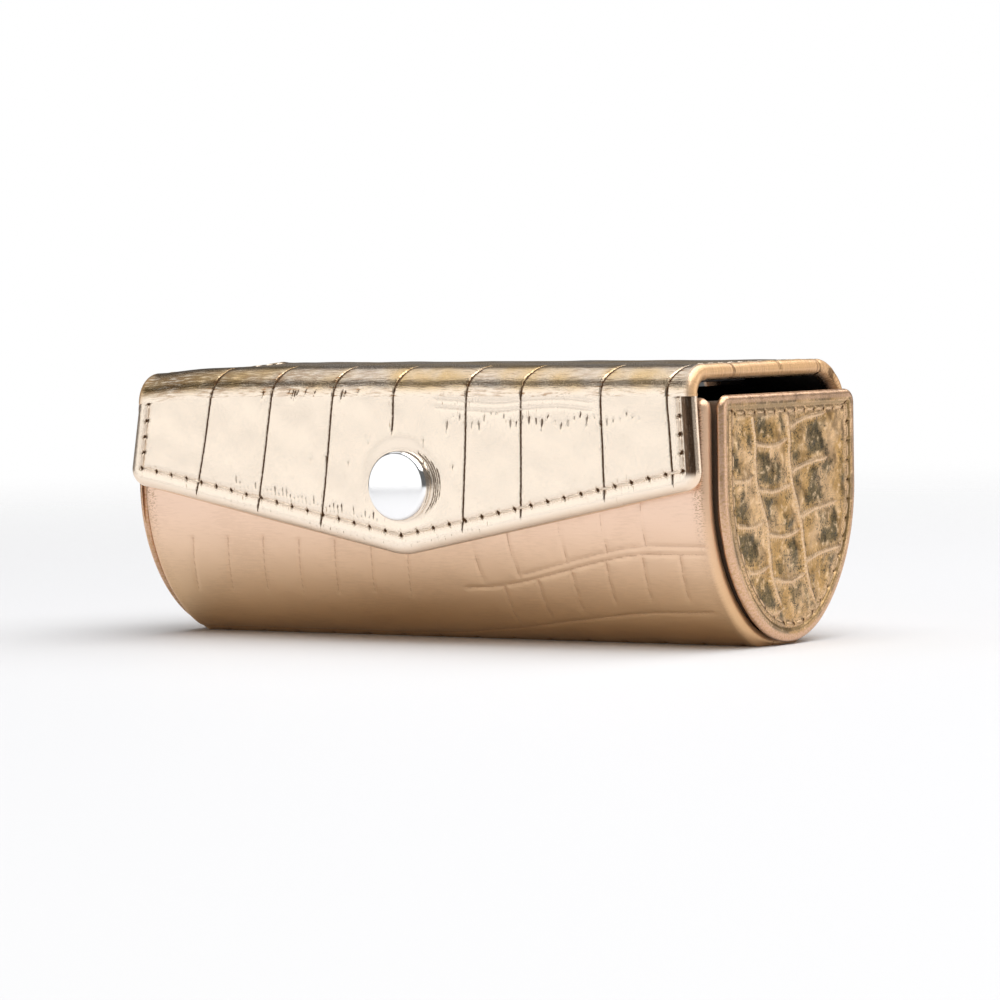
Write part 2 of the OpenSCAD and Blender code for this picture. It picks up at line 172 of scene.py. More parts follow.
def droop(x, y):
    """How far the lid's end at the left hangs down, most at its front corner."""
    along = np.clip((-x - DROOP_START) / DROOP_RUN, 0, 1)
    back = np.clip((y - CREASE_Y) / (HINGE_Y - CREASE_Y), 0, 1)
    return (DROOP_SAG * along ** 1.5 + DROOP_CURL * along ** 4) * (1 - back ** 2)


def hung(x, y, z):
    """Height of a point once the cover has drooped."""
    return z - droop(x, y) * np.clip((z - CREASE_Z + DROOP_FADE) / DROOP_FADE, 0, 1)


def hide_point(u, v, depth):
    """Place in the case of a point on the hide, at a depth under the skin."""
    y, z, ny, nz = skin(v)
    y, z = y - ny * depth, z - nz * depth
    floor = np.where(v > V_BACK, 0.0, -1e3)
    return np.stack([u, y, np.maximum(hung(u, y, z), floor)], -1)


# ------------------------------------------------------------------ grain of the hide


def distance_to_line(p, line):
    """Distance from each point to a polyline, and how far along it the nearest place is."""
    best, along, run = np.full(len(p), 1e3), np.zeros(len(p)), 0.0
    for a, b in zip(line[:-1], line[1:]):
        ab = b - a
        length = np.hypot(*ab)
        if length < 1e-6:
            continue
        t = np.clip(((p - a) @ ab) / length ** 2, 0, 1)
        d = np.hypot(*(p - a - t[:, None] * ab).T)
        along = np.where(d < best, run + t * length, along)
        best = np.minimum(best, d)
        run += length
    return best, along


def smooth_line(points, per_span=6):
    """A Catmull-Rom curve through a few points."""
    p = np.array(points, float)
    if len(p) < 3:
        return p
    p = np.vstack([2 * p[0] - p[1], p, 2 * p[-1] - p[-2]])
    out = []
    for a, b, c, d in zip(p[:-3], p[1:-2], p[2:-1], p[3:]):
        for t in np.arange(per_span) / per_span:
            out.append(0.5 * (2 * b + (c - a) * t + (2 * a - 5 * b + 4 * c - d) * t ** 2
                              + (3 * b - a - 3 * c + d) * t ** 3))
    return np.array(out + [p[-2]])


class Grain:
    """Grooves between the scales: each a curve, with its width, its depth and how dark it is."""

    def __init__(self):
        self.lines = []

    def add(self, points, width=0.15, depth=0.12, ink=1.0, head=1.0):
        """A groove of half this width, which thins out to its end, from head times its width."""
        self.lines.append((smooth_line(points), width, depth, ink, head))

    def sample(self, u, v):
        """At each point: distance to the nearest groove in widths of it, its depth and ink."""
        p = np.stack([u.ravel(), v.ravel()], -1)
        near, depth, ink = np.full(len(p), 9.0), np.zeros(len(p)), np.zeros(len(p))
        along = np.zeros(len(p))
        reach = 2.5
        for line, width, deep, dark, head in self.lines:
            lo, hi = line.min(0) - reach, line.max(0) + reach
            i = np.flatnonzero(((p > lo) & (p < hi)).all(1))
            d, s = distance_to_line(p[i], line)
            length = np.hypot(*np.diff(line, axis=0).T).sum()
            swell = head + (0.75 - head) * np.clip(s / 3, 0, 1)
            ends = np.clip(np.minimum(s * 3, length - s) / 1.2, 0.2, 1)
            d = d / (0.8 * width * swell * ends)
            closer = d < near[i]
            j = i[closer]
            near[j], depth[j], ink[j], along[j] = d[closer], deep, dark, s[closer]
        shape = u.shape
        return near.reshape(shape), depth.reshape(shape), ink.reshape(shape), along.reshape(shape)


def ripple(u, v, size, seed):
    """Smooth random waves of about that size, near -1 to 1."""
    rng = np.random.default_rng(seed)
    total = np.zeros_like(u)
    for _ in range(7):
        angle, phase = rng.uniform(0, 2 * np.pi, 2)
        k = 2 * np.pi / (size * rng.uniform(0.7, 1.6))
        total += np.sin(k * (u * np.cos(angle) + v * np.sin(angle)) + phase)
    return total / 3.5


def eased(x, start, end):
    """0 before start, 1 after end, and a smooth step between them."""
    t = np.clip((x - start) / (end - start), 0, 1)
    return t * t * (3 - 2 * t)


def flap_low(u):
    """The v of the flap's lower edge at u, with its corners and point taken as sharp."""
    side = LID_HALF + 1
    return TIP_V + (CORNER_V - TIP_V) * abs(u - TIP_U) / side


def flap_cracks(grain, rng):
    """Cross grooves of the flap's big scales, from over the crease down: they fan out to the
    left, and stop short at the snap's cap."""
    pitch, first, over = 10.4, -32.5, 8.0
    upright_u, fan = 25.0, 0.004
    cap_gap = 1.5
    for k in range(8):
        u = first + pitch * k + rng.uniform(-1.2, 1.2)
        foot = flap_low(u) + 1
        if abs(u - CAP_X) < CAP_R:
            foot = CAP_V + CAP_R + cap_gap
        spread = -foot * fan * (u - upright_u)
        grain.add([(u + 2.2, over), (u + 1, over / 2), (u, 1), (u + spread / 2, foot / 2),
                   (u + spread, foot)], 0.19, head=rng.uniform(0.9, 1.6))


def flap_nicks(grain, rng):
    """Short fine marks: under the crease, over the seam and across the rolled edge."""
    for level in (-0.6, -1.7):
        grain.add([(u, level + 0.3 * math.sin(u / 3)) for u in range(5, 31, 5)], 0.2, 0.08, 0.11)
    for u in np.arange(7, 38, 1.0):
        top = rng.uniform(-3.4, -1.9)
        grain.add([(u, top), (u + rng.uniform(-0.3, 0.2), top - rng.uniform(0.5, 2.0))],
                  rng.uniform(0.1, 0.2), 0.08, rng.uniform(0.4, 1), 1.2)
    for u in rng.uniform(-26, -6, 10):
        grain.add([(u + 0.5, 1.1), (u, 1.1 - rng.uniform(0.8, 2))], 0.15, 0.08, 0.9, 1.1)
    for u, v in zip(rng.uniform(-23, 10, 9), rng.uniform(-10, -3, 9)):
        grain.add([(u, v), (u - 0.1, v - rng.uniform(0.8, 2))], 0.1, 0.04, 0.7)
    for u in np.arange(-28, -4, 0.65):
        foot = flap_low(u) + 3.4
        grain.add([(u, foot + rng.uniform(0.5, 1.9)), (u + 0.1, foot)],
                  rng.uniform(0.07, 0.14), 0.05, rng.uniform(0.3, 1))
    for u in np.arange(-30, 12, 1.1):
        top = flap_low(u) + 1.5
        grain.add([(u, top), (u + 0.1, top - rng.uniform(0.3, 1.0))],
                  rng.uniform(0.08, 0.16), 0.05, rng.uniform(0.2, 0.9))


def cap_creases(grain):
    """Creases pressed round the snap's cap, closest on its right."""
    gap, pitch = 0.45, 0.36
    for k in range(4):
        r = CAP_R + gap + pitch * k
        turn = np.radians(np.linspace(60 - 12 * k, -50 + 10 * k, 5))
        grain.add(np.stack([CAP_X + r * np.cos(turn), CAP_V + r * np.sin(turn)], -1),
                  0.13, 0.08, 0.8)


def scale_rows(grain, rng):
    """Rows of scales over the lid, the back and the bottom."""
    first, last, pitch, half = 13.5, 90, 10.9, 47
    tops = np.arange(first, last, pitch)
    u = np.linspace(-half, half, 13)
    for k, v0 in enumerate(tops):
        wave = 0.8 * np.sin(u / 7.5 + 1.7 * k) + rng.uniform(-0.35, 0.35, len(u))
        grain.add(np.stack([u, v0 + wave], -1), 0.3, 0.15, 0.6)
    for v0, v1 in zip(tops[:-1], tops[1:]):
        x = -half + rng.uniform(1, 6)
        while x < half - 1:
            grain.add([(x, v0 + 0.4), (x + rng.uniform(-0.7, 0.7), (v0 + v1) / 2),
                       (x + 0.4, v1 - 0.4)], 0.26, 0.14, 0.7)
            x += rng.uniform(6.5, 10.5)


def shell_front(grain, rng):
    """Soft grooves on the shell's front, by the distance down from the end of its flat wall."""
    def add(points, *style):
        grain.add([(x, V_WALL - down) for x, down in points], *style)

    def belt(x):
        return 14.5 - 6 * eased(x, 5, 38)

    def base(x):
        return 25 - 7 * eased(x, -10, 40)

    for k in range(7):
        x = -38 + 6 * k
        add([(x, 7), (x - 1, 11), (x - 2.5, 16.5)], 0.2, 0.1, 0.3)
    for k in range(5):
        x = 8 + 7 * k + rng.uniform(-1, 1)
        add([(x, -3), (x - 0.4, belt(x) / 2), (x, belt(x))], 0.18, 0.09, 0.4)
    add([(x, belt(x)) for x in range(5, 47, 5)], 0.2, 0.1, 0.35)
    add([(x, belt(x) - 1.1) for x in range(15, 47, 5)], 0.18, 0.06, 0.2)
    for k in range(6):
        x = 11.5 + 5.8 * k
        add([(x, belt(x)), (x - 1, belt(x) + 8)], 0.2, 0.11, 0.35)
    add([(x, base(x)) for x in range(-47, 48, 9)], 0.3, 0.09, 0.28)
    for k in range(15):
        x = -41 + 6 * k
        add([(x, 25.5), (x - 0.8, 29)], 0.28, 0.09, 0.3)


def hide_grain():
    grain, rng = Grain(), np.random.default_rng(21)
    flap_cracks(grain, rng)
    flap_nicks(grain, rng)
    cap_creases(grain)
    scale_rows(grain, rng)
    shell_front(grain, rng)
    return grain


GRAIN = hide_grain()

# ------------------------------------------------------------------ meshes


def make_mesh(name, points, faces, attributes=None, smooth=True):
    """A closed mesh object. Points are in millimetres; attributes are one value per point."""
    mesh = bpy.data.meshes.new(name)
    mesh.from_pydata((np.asarray(points) * MM).tolist(), [], faces)
    for key, values in (attributes or {}).items():
        vector = np.ndim(values) == 2
        layer = mesh.attributes.new(key, "FLOAT_VECTOR" if vector else "FLOAT", "POINT")
        field = "vector" if vector else "value"
        layer.data.foreach_set(field, np.asarray(values, np.float32).ravel())
    bm = bmesh.new()
    bm.from_mesh(mesh)
    bmesh.ops.remove_doubles(bm, verts=bm.verts, dist=1e-6)
    bmesh.ops.dissolve_degenerate(bm, edges=bm.edges, dist=1e-7)
    bmesh.ops.recalc_face_normals(bm, faces=bm.faces)
    bm.to_mesh(mesh)
    bm.free()
    if smooth:
        mesh.shade_smooth()
        mesh.set_sharp_from_angle(angle=math.radians(55))
    obj = bpy.data.objects.new(name, mesh)
    bpy.context.scene.collection.objects.link(obj)
    return obj


def spaced(start, end, pitch, fine_start=False, fine_end=False):
    """Values from start to end, about pitch apart, crowded where an edge rolls over."""
    crowd = ROLL * (1 - np.cos(np.linspace(0, np.pi / 2, 9)))[:-1]
    lo = start + crowd if fine_start else np.array([start])
    hi = end - crowd[::-1] if fine_end else np.array([end])
    first = start + ROLL if fine_start else start
    last = end - ROLL if fine_end else end
    middle = np.linspace(first, last, max(2, int(round((last - first) / pitch)) + 1))
    return np.unique(np.round(np.concatenate([lo, middle, hi]), 6))


def rolled(edge, reach=ROLL):
    """Depth of the surface at a distance from an edge that rolls over within reach of it."""
    t = np.clip(1 - edge / reach, 0, 1)
    return ROLL * (1 - np.sqrt(np.maximum(1 - t ** 2, 0)))


INNER_STEP = 6


def slab(name, outer, inner, attributes):
    """A closed sheet from two grids of points, n by m by 3, one under the other. The inner grid
    is thinned out, and its border keeps every point, so that the two close on each other."""
    n, m = outer.shape[:2]
    ids = np.arange(n * m).reshape(n, m)
    faces = []
    a, b, c, d = ids[:-1, :-1], ids[1:, :-1], ids[1:, 1:], ids[:-1, 1:]
    faces += np.stack([a, b, c, d], -1).reshape(-1, 4).tolist()
    low = ids + n * m
    rows = sorted(set(list(range(0, n, INNER_STEP)) + [n - 1]))
    cols = sorted(set(list(range(0, m, INNER_STEP)) + [m - 1]))
    for i0, i1 in zip(rows[:-1], rows[1:]):
        for j0, j1 in zip(cols[:-1], cols[1:]):
            ring = [low[i0, j0]]
            ring += list(low[i0, j0 + 1:j1]) if i0 == 0 else []
            ring += [low[i0, j1]]
            ring += list(low[i0 + 1:i1, j1]) if j1 == m - 1 else []
            ring += [low[i1, j1]]
            ring += list(low[i1, j0 + 1:j1][::-1]) if i1 == n - 1 else []
            ring += [low[i1, j0]]
            ring += list(low[i0 + 1:i1, j0][::-1]) if j0 == 0 else []
            faces.append([int(k) for k in ring])
    border = np.concatenate([ids[0, :-1], ids[:-1, -1], ids[-1, :0:-1], ids[:0:-1, 0]])
    following = np.roll(border, -1)
    faces += np.stack([border, following, following + n * m, border + n * m], -1).tolist()
    points = np.concatenate([outer.reshape(-1, 3), inner.reshape(-1, 3)])
    doubled = {key: np.concatenate([value.reshape(n * m, -1)] * 2).squeeze()
               for key, value in attributes.items()}
    used = np.zeros(len(points), bool)
    used[np.unique(np.concatenate([np.array(f) for f in faces]))] = True
    renumber = np.cumsum(used) - 1
    faces = [[int(renumber[k]) for k in f] for f in faces]
    doubled = {key: value[used] for key, value in doubled.items()}
    return make_mesh(name, points[used], faces, doubled)


def stitches_on(line):
    """Centres and directions of the stitches along a polyline, evenly spaced on each side."""
    out = []
    for a, b in zip(line[:-1], line[1:]):
        a, b = np.array(a, float), np.array(b, float)
        length = np.hypot(*(b - a))
        count = max(1, round(length / STITCH_PITCH))
        for i in range(count):
            out.append((a + (b - a) * (i + 0.5) / count, (b - a) / length))
    return out


def seam_relief(u, v, stitches):
    """A channel along a seam and a hole at each end of its stitches: depth, and hole nearness."""
    p = np.stack([u.ravel(), v.ravel()], -1)
    channel, hole = np.zeros(len(p)), np.full(len(p), 9.0)
    for centre, way in stitches:
        near = np.flatnonzero(np.abs(p - centre).max(1) < 3)
        q = p[near] - centre
        s, t = q @ way, q @ np.array([-way[1], way[0]])
        fade = np.clip((1.7 - np.abs(s)) / 0.6, 0, 1)
        channel[near] = np.maximum(channel[near], fade * np.exp(-(t / 0.42) ** 2))
        for end in (-STITCH_PITCH / 2, STITCH_PITCH / 2):
            diamond = (np.abs(s - end + 0.25 * t) / 0.24 + np.abs(t) / 0.36)
            hole[near] = np.minimum(hole[near], diamond)
    return channel.reshape(u.shape), hole.reshape(u.shape)


EDGE_FADE = 0.5                              # relief dies out this close to a free edge


def hide_fields(u, v, edge, stitches=(), pillow=0.06, carve=1.0):
    """Height of the hide over its smooth skin, and the attributes that its material reads."""
    near, depth, ink, _ = GRAIN.sample(u, v)
    width_mm = 0.25
    groove = -carve * depth * np.exp(-near ** 2)
    swell = pillow * (1 - np.exp(-near * width_mm / 0.9))
    waves = 0.035 * ripple(u, v, 9, 3) + 0.012 * ripple(u, v, 3.1, 4)
    height = groove + swell + waves
    bead = np.exp(-((edge - 0.9) / 0.75) ** 2)
    height += 0.1 * bead
    if len(stitches):
        channel, hole = seam_relief(u, v, stitches)
        height -= 0.07 * channel + 0.15 * np.exp(-hole ** 2)
        swap = hole < near
        near = np.where(swap, hole, near)
        ink = np.where(swap, 1.0, ink)
    else:
        channel = np.zeros_like(u)
    return height, {"hide": np.stack([u, v, 0 * u], -1), "groove": near, "ink": ink,
                    "seam": channel, "edge": np.clip(edge, 0, 9)}


def hide_slab(name, u, v, edge, lined, stitches=(), pillow=0.06):
    """A slab of the hide, from grids of u, v and the distance to the nearest free edge. Its inner
    face is as deep as the whole wall at a turned hem, and as the leather where it is lined."""
    height, attributes = hide_fields(u, v, edge, stitches, pillow)
    roll = rolled(edge)
    height = height * np.clip(edge / EDGE_FADE, 0, 1)
    outer = hide_point(u, v, roll - height)
    deep = np.where(lined, LEATHER, WALL)
    inner = hide_point(u, v, np.maximum(deep, roll) - np.where(lined, 0, roll))
    return slab(name, outer, inner, attributes)


def half_width(v):
    """Half of the hide's length along the case: wider over the shell than over the lid."""
    return LID_HALF + (SHELL_END - LID_HALF) * eased(v, V_HINGE, V_BACK)


def strip(v_values, pitch, lip=None, corner=1.5):
    """Grids of u, v and edge distance for a strip of the hide with both sides turned."""
    share = spaced(-LID_HALF, LID_HALF, pitch, True, True) / LID_HALF
    v = np.repeat(v_values[None, :], len(share), 0)
    half = half_width(v)
    if lip is not None:
        rise = np.clip(v - (lip - corner), 0, corner)
        half = half - (corner - np.sqrt(np.maximum(corner ** 2 - rise ** 2, 0)))
    u = share[:, None] * half
    edge = half - np.abs(u)
    if lip is not None:
        edge = np.minimum(edge, lip - v)
    return u, v, np.maximum(edge, 0)


# ------------------------------------------------------------------ materials


def rgb(r, g, b):
    return (r, g, b, 1.0)


class Nodes:
    """Short names for building a node tree."""

    def __init__(self, name):
        self.material = bpy.data.materials.new(name)
        self.material.use_nodes = True
        self.tree = self.material.node_tree
        self.shader = self.tree.nodes["Principled BSDF"]

    def add(self, kind, **settings):
        node = self.tree.nodes.new(kind)
        inputs = settings.pop("inputs", {})
        for key, value in settings.items():
            setattr(node, key, value)
        for key, value in inputs.items():
            if isinstance(value, bpy.types.NodeSocket):
                self.tree.links.new(value, node.inputs[key])
            else:
                node.inputs[key].default_value = value
        return node

    def attribute(self, name, field="Fac"):
        return self.add("ShaderNodeAttribute", attribute_name=name).outputs[field]

    def stretched(self, vector, scale):
        return self.add("ShaderNodeVectorMath", operation="MULTIPLY",
                        inputs={0: vector, 1: scale}).outputs[0]

    def noise(self, vector, scale, detail=3.0, roughness=0.55):
        return self.add("ShaderNodeTexNoise", inputs={
            "Vector": vector, "Scale": scale, "Detail": detail,
            "Roughness": roughness}).outputs["Fac"]

    def ramp(self, value, low, high, to_low=0.0, to_high=1.0, kind="SMOOTHSTEP"):
        return self.add("ShaderNodeMapRange", interpolation_type=kind, inputs={
            "Value": value, "From Min": low, "From Max": high,
            "To Min": to_low, "To Max": to_high}).outputs["Result"]

    def math(self, operation, a, b=0.0, clamp=False):
        return self.add("ShaderNodeMath", operation=operation, use_clamp=clamp,
                        inputs={0: a, 1: b}).outputs[0]

    def mix(self, share, a, b):
        node = self.add("ShaderNodeMix", data_type="RGBA")
        for key, value in (("Factor", share), ("A", a), ("B", b)):
            socket = next(s for s in node.inputs if s.name == key and s.enabled)
            if isinstance(value, bpy.types.NodeSocket):
                self.tree.links.new(value, socket)
            else:
                socket.default_value = value
        return next(s for s in node.outputs if s.enabled)

    def bump(self, height, strength, distance_mm, normal=None):
        inputs = {"Height": height, "Strength": strength, "Distance": distance_mm * MM}
        if normal is not None:
            inputs["Normal"] = normal
        return self.add("ShaderNodeBump", inputs=inputs).outputs["Normal"]

    def set(self, **values):
        for key, value in values.items():
            socket = self.shader.inputs[key.replace("_", " ")]
            if isinstance(value, bpy.types.NodeSocket):
                self.tree.links.new(value, socket)
            else:
                socket.default_value = value
        return self.material


ROSE = rgb(0.92, 0.67, 0.52)
CHAMPAGNE = rgb(0.97, 0.84, 0.70)
GOLD = rgb(0.90, 0.64, 0.34)
SHADE_AMBER = rgb(0.82, 0.56, 0.30)
TAN = rgb(0.80, 0.48, 0.24)
CRACK = rgb(0.075, 0.032, 0.010)
STAIN = rgb(0.42, 0.24, 0.12)
BRONZE = rgb(0.30, 0.19, 0.07)
LINE = rgb(0.50, 0.27, 0.16)


def foil_leather(name, tone, other, roughness, streak_v, wrinkle, stain=0.25, bottom_shade=0.0,
                 edge_wear=0.5, specks=0.0, crack_tone=CRACK, halo=0.0, dark_edge_reflection=0.0,
                 lines_from=0.62, left_shade=0.0):
    """Metallic foil over embossed leather: dark cracks, fine grain and stretched wrinkles, worn
    tan along the turned edges. Towards the bottom of the case the foil is tinted darker amber as
    painted shade."""
    n = Nodes(name)
    hide = n.attribute("hide", "Vector")
    groove, ink = n.attribute("groove"), n.attribute("ink")
    seam, edge = n.attribute("seam"), n.attribute("edge")
    speck = n.noise(hide, 2.6, 2.0)
    streak_scale = (5.0, 0.7, 1.0) if streak_v else (0.55, 3.4, 1.0)
    streak = n.noise(n.stretched(hide, streak_scale), 1.0, 4.0, 0.6)
    fine = n.noise(hide, 5.5, 3.0, 0.6)
    broad = n.noise(hide, 0.12, 2.0)
    # Cracks: dark where the groove is near, broken up along their length
    ragged = n.math("ADD", groove, n.ramp(speck, 0.3, 0.7, -0.35, 0.35, "LINEAR"))
    crack = n.math("MULTIPLY", n.ramp(ragged, 0.7, 1.3, 1.0, 0.0), ink, clamp=True)
    # Fine dark scratches that run with the wrinkles, densest near the grooves
    scratch = n.ramp(streak, lines_from, lines_from + 0.07, 0.0, wrinkle)
    scratch = n.math("MULTIPLY", scratch, n.ramp(groove, 2.0, 9.0, 1.0, 0.2), clamp=True)
    base = n.mix(n.ramp(broad, 0.35, 0.65), tone, other)
    at = n.add("ShaderNodeSeparateXYZ", inputs={0: hide}).outputs
    if left_shade:
        # Painted shade: the crease darkens to bronze towards its left end; the back turns rose like
        # the shell
        dark = n.math("MULTIPLY", n.ramp(at["X"], -38, 0, left_shade, 0.0), n.ramp(streak, 0.3, 0.55))
        dark = n.math("MULTIPLY", dark, n.ramp(at["Y"], V_LID, V_LID + 6, 1.0, 0.0), clamp=True)
        base = n.mix(dark, base, BRONZE)
        base = n.mix(n.ramp(at["Y"], V_HINGE - 4, V_BACK), base, ROSE)
        base = n.mix(n.ramp(at["Y"], 0.0, 1.8, 1.0, 0.0), base, CHAMPAGNE)
    # Painted shade: darker amber towards the bottom, standing in for the shadowed floor that the
    # foil reflects
    if bottom_shade:
        place = n.add("ShaderNodeTexCoord").outputs["Object"]
        height = n.add("ShaderNodeSeparateXYZ", inputs={0: place}).outputs["Z"]
        base = n.mix(n.ramp(height, 0.001, 0.021, bottom_shade, 0.0), base, SHADE_AMBER)
    worn = n.math("MULTIPLY", n.ramp(n.math("MULTIPLY", broad, streak), 0.22, 0.36), stain)
    base = n.mix(worn, base, STAIN)
    base = n.mix(n.ramp(edge, 0.1, 1.5, edge_wear, 0.0), base, TAN)
    if specks:
        pressed = n.noise(n.stretched(hide, (1.0, 2.2, 1.0)), 2.4, 3.0, 0.65)
        band = n.math("MULTIPLY", n.ramp(edge, 0.3, 0.8), n.ramp(edge, 1.6, 2.6, 1.0, 0.0))
        band = n.math("MULTIPLY", band, n.ramp(pressed, 0.5, 0.58), clamp=True)
        band = n.math("MULTIPLY", band, n.ramp(height, 0.012, 0.022, 0.15, 1.0), clamp=True)
        base = n.mix(n.math("MULTIPLY", band, specks), base, STAIN)
    if dark_edge_reflection:
        # Painted reflection: a dark line inside the turned right-hand edge, where the rolled edge
        # mirrors dark surroundings
        line = n.math("MULTIPLY", n.ramp(edge, 0.3, 0.45), n.ramp(edge, 1.6, 1.8, 1.0, 0.0))
        line = n.math("MULTIPLY", line, n.ramp(at["X"], LID_HALF - 2.4, LID_HALF - 1.9))
        line = n.math("MULTIPLY", line, n.ramp(at["Y"], CORNER_V + 1.2, CORNER_V + 2.2))
        line = n.math("MULTIPLY", line, n.ramp(streak, 0.3, 0.5, 0.85, 1.0), clamp=True)
        base = n.mix(n.math("MULTIPLY", line, dark_edge_reflection), base, CRACK)
    if halo:
        fringe = n.math("MULTIPLY", n.ramp(ragged, 1.2, 2.6, 1.0, 0.0), ink)
        fringe = n.math("MULTIPLY", fringe, n.ramp(fine, 0.42, 0.56), clamp=True)
        base = n.mix(n.math("MULTIPLY", fringe, halo), base, BRONZE)
    seam_dirt = n.math("MULTIPLY", seam, n.ramp(fine, 0.42, 0.6, 0.15, 0.6), clamp=True)
    base = n.mix(seam_dirt, base, STAIN)
    base = n.mix(scratch, base, STAIN)
    base = n.mix(crack, base, crack_tone)
    rough = n.ramp(fine, 0.3, 0.7, roughness - 0.05, roughness + 0.08, "LINEAR")
    rough = n.math("ADD", rough, n.math("MULTIPLY", crack, 0.4), clamp=True)
    bare = n.math("MAXIMUM", n.math("MULTIPLY", crack, 0.9),
                  n.ramp(edge, 0.2, 1.8, edge_wear * 0.75, 0.0))
    metal = n.math("SUBTRACT", 1.0, bare, clamp=True)
    normal = n.bump(streak, 0.5, 0.06)
    normal = n.bump(fine, 0.35, 0.03, normal)
    normal = n.bump(crack, 0.8, -0.06, normal)
    return n.set(Base_Color=base, Roughness=rough, Metallic=metal, Normal=normal,
                 Specular_IOR_Level=0.15)


def panel_leather():
    """The end panels: pale raised veins with combed sides, over smooth gold scales with dark
    specks, and dark bronze and pale patches painted on as reflections; small holes along the seam."""
    n = Nodes("panel_foil_leather")
    hide = n.attribute("hide", "Vector")
    groove, along = n.attribute("groove"), n.attribute("along")
    vein, rim = n.attribute("vein"), n.attribute("rim")
    hole, edge = n.attribute("hole"), n.attribute("edge")
    fine = n.noise(hide, 3.6, 4.0, 0.65)
    patch = n.noise(hide, 0.16, 2.0, 0.5)
    other = n.noise(n.stretched(hide, (1.0, 0.6, 1.0)), 0.2, 3.0, 0.55)
    cloud = n.noise(hide, 0.75, 5.0, 0.7)
    teeth = n.math("SINE", n.math("MULTIPLY", along, 2 * math.pi / 0.55))
    reach = n.math("MULTIPLY", n.ramp(groove, 0.9, 2.6, 1.0, 0.0),
                   n.ramp(teeth, 0.1, 0.8), clamp=True)
    scale = n.mix(n.ramp(patch, 0.42, 0.58), rgb(0.56, 0.33, 0.12), rgb(0.74, 0.48, 0.25))
    # Painted reflections on the scales: dark bronze patches away from the veins for the dark
    # surroundings, and pale patches for the bright ones
    middle = n.ramp(groove, 1.4, 4.0, 0.15, 0.9)
    dark = n.math("MULTIPLY", n.ramp(other, 0.45, 0.58), middle)
    scale = n.mix(dark, scale, rgb(0.135, 0.10, 0.045))
    scale = n.mix(n.ramp(cloud, 0.54, 0.65, 0.0, 0.7), scale, rgb(0.94, 0.68, 0.42))
    specked = n.math("MULTIPLY", n.ramp(fine, 0.48, 0.56), n.ramp(cloud, 0.54, 0.46))
    specked = n.math("MULTIPLY", specked, n.ramp(other, 0.38, 0.52, 0.25, 1.0), clamp=True)
    scale = n.mix(n.math("MULTIPLY", specked, 0.9), scale, rgb(0.045, 0.04, 0.025))
    vein_colour = n.mix(n.ramp(fine, 0.35, 0.7), rgb(0.66, 0.42, 0.22), rgb(0.86, 0.63, 0.41))
    rim_colour = n.mix(n.ramp(fine, 0.4, 0.62), rgb(0.74, 0.48, 0.33), rgb(0.60, 0.37, 0.20))
    vein = n.ramp(vein, 0.35, 0.75)
    base = n.mix(n.math("MAXIMUM", vein, n.math("MULTIPLY", reach, 0.65)), scale, vein_colour)
    base = n.mix(rim, base, rim_colour)
    # The band of pressed grain under the seam, and thin worn lines along the padded rim
    band = n.math("MULTIPLY", n.ramp(edge, 1.2, 1.5), n.ramp(edge, 2.7, 3.3, 1.0, 0.0))
    pale_band = n.math("MULTIPLY", band, 0.6)
    base = n.mix(pale_band, base, rgb(0.66, 0.44, 0.27))
    band = n.math("MULTIPLY", band, n.ramp(fine, 0.5, 0.58, 0.0, 0.85), clamp=True)
    base = n.mix(band, base, BRONZE)
    line = n.math("MULTIPLY", n.ramp(edge, 1.45, 1.6), n.ramp(edge, 1.75, 1.95, 1.0, 0.0))
    base = n.mix(n.math("MULTIPLY", line, 0.6, clamp=True), base, BRONZE)
    base = n.mix(n.ramp(hole, 0.75, 1.25, 1.0, 0.0), base, CRACK)
    rough = n.ramp(cloud, 0.3, 0.7, 0.26, 0.42, "LINEAR")
    normal = n.bump(fine, 0.35, 0.05)
    normal = n.bump(reach, 0.5, 0.08, normal)
    normal = n.bump(other, 0.5, 0.5, normal)
    return n.set(Base_Color=base, Roughness=rough, Metallic=0.9, Normal=normal)


def object_noise(n, scale_per_mm, detail=3.0):
    place = n.add("ShaderNodeTexCoord").outputs["Object"]
    return n.noise(place, scale_per_mm / MM, detail)


def thread(name, low, high):
    n = Nodes(name)
    place = n.attribute("hide", "Vector")
    twist = n.add("ShaderNodeTexWave", inputs={
        "Vector": place, "Scale": 1.0, "Distortion": 0.6, "Detail": 2.0}).outputs["Fac"]
    return n.set(Base_Color=n.mix(twist, low, high), Roughness=0.38, Metallic=0.8,
                 Normal=n.bump(twist, 0.4, 0.03))


def black_microfibre():
    n = Nodes("black_microfibre")
    nap = object_noise(n, 1.4)
    base = n.mix(nap, rgb(0.006, 0.006, 0.007), rgb(0.03, 0.028, 0.028))
    return n.set(Base_Color=base, Roughness=0.92, Sheen_Weight=0.35, Sheen_Roughness=0.5,
                 Normal=n.bump(nap, 0.6, 0.08))


def fibreboard():
    n = Nodes("fibreboard")
    fibre = object_noise(n, 1.1, 5.0)
    base = n.mix(fibre, rgb(0.20, 0.17, 0.13), rgb(0.38, 0.33, 0.27))
    return n.set(Base_Color=base, Roughness=0.9, Normal=n.bump(fibre, 0.5, 0.08))


def moulded_plastic():
    n = Nodes("moulded_plastic")
    spark = object_noise(n, 2.5, 2.0)
    base = n.mix(spark, rgb(0.09, 0.058, 0.036), rgb(0.13, 0.088, 0.058))
    return n.set(Base_Color=base, Roughness=0.55, Normal=n.bump(spark, 0.3, 0.03))


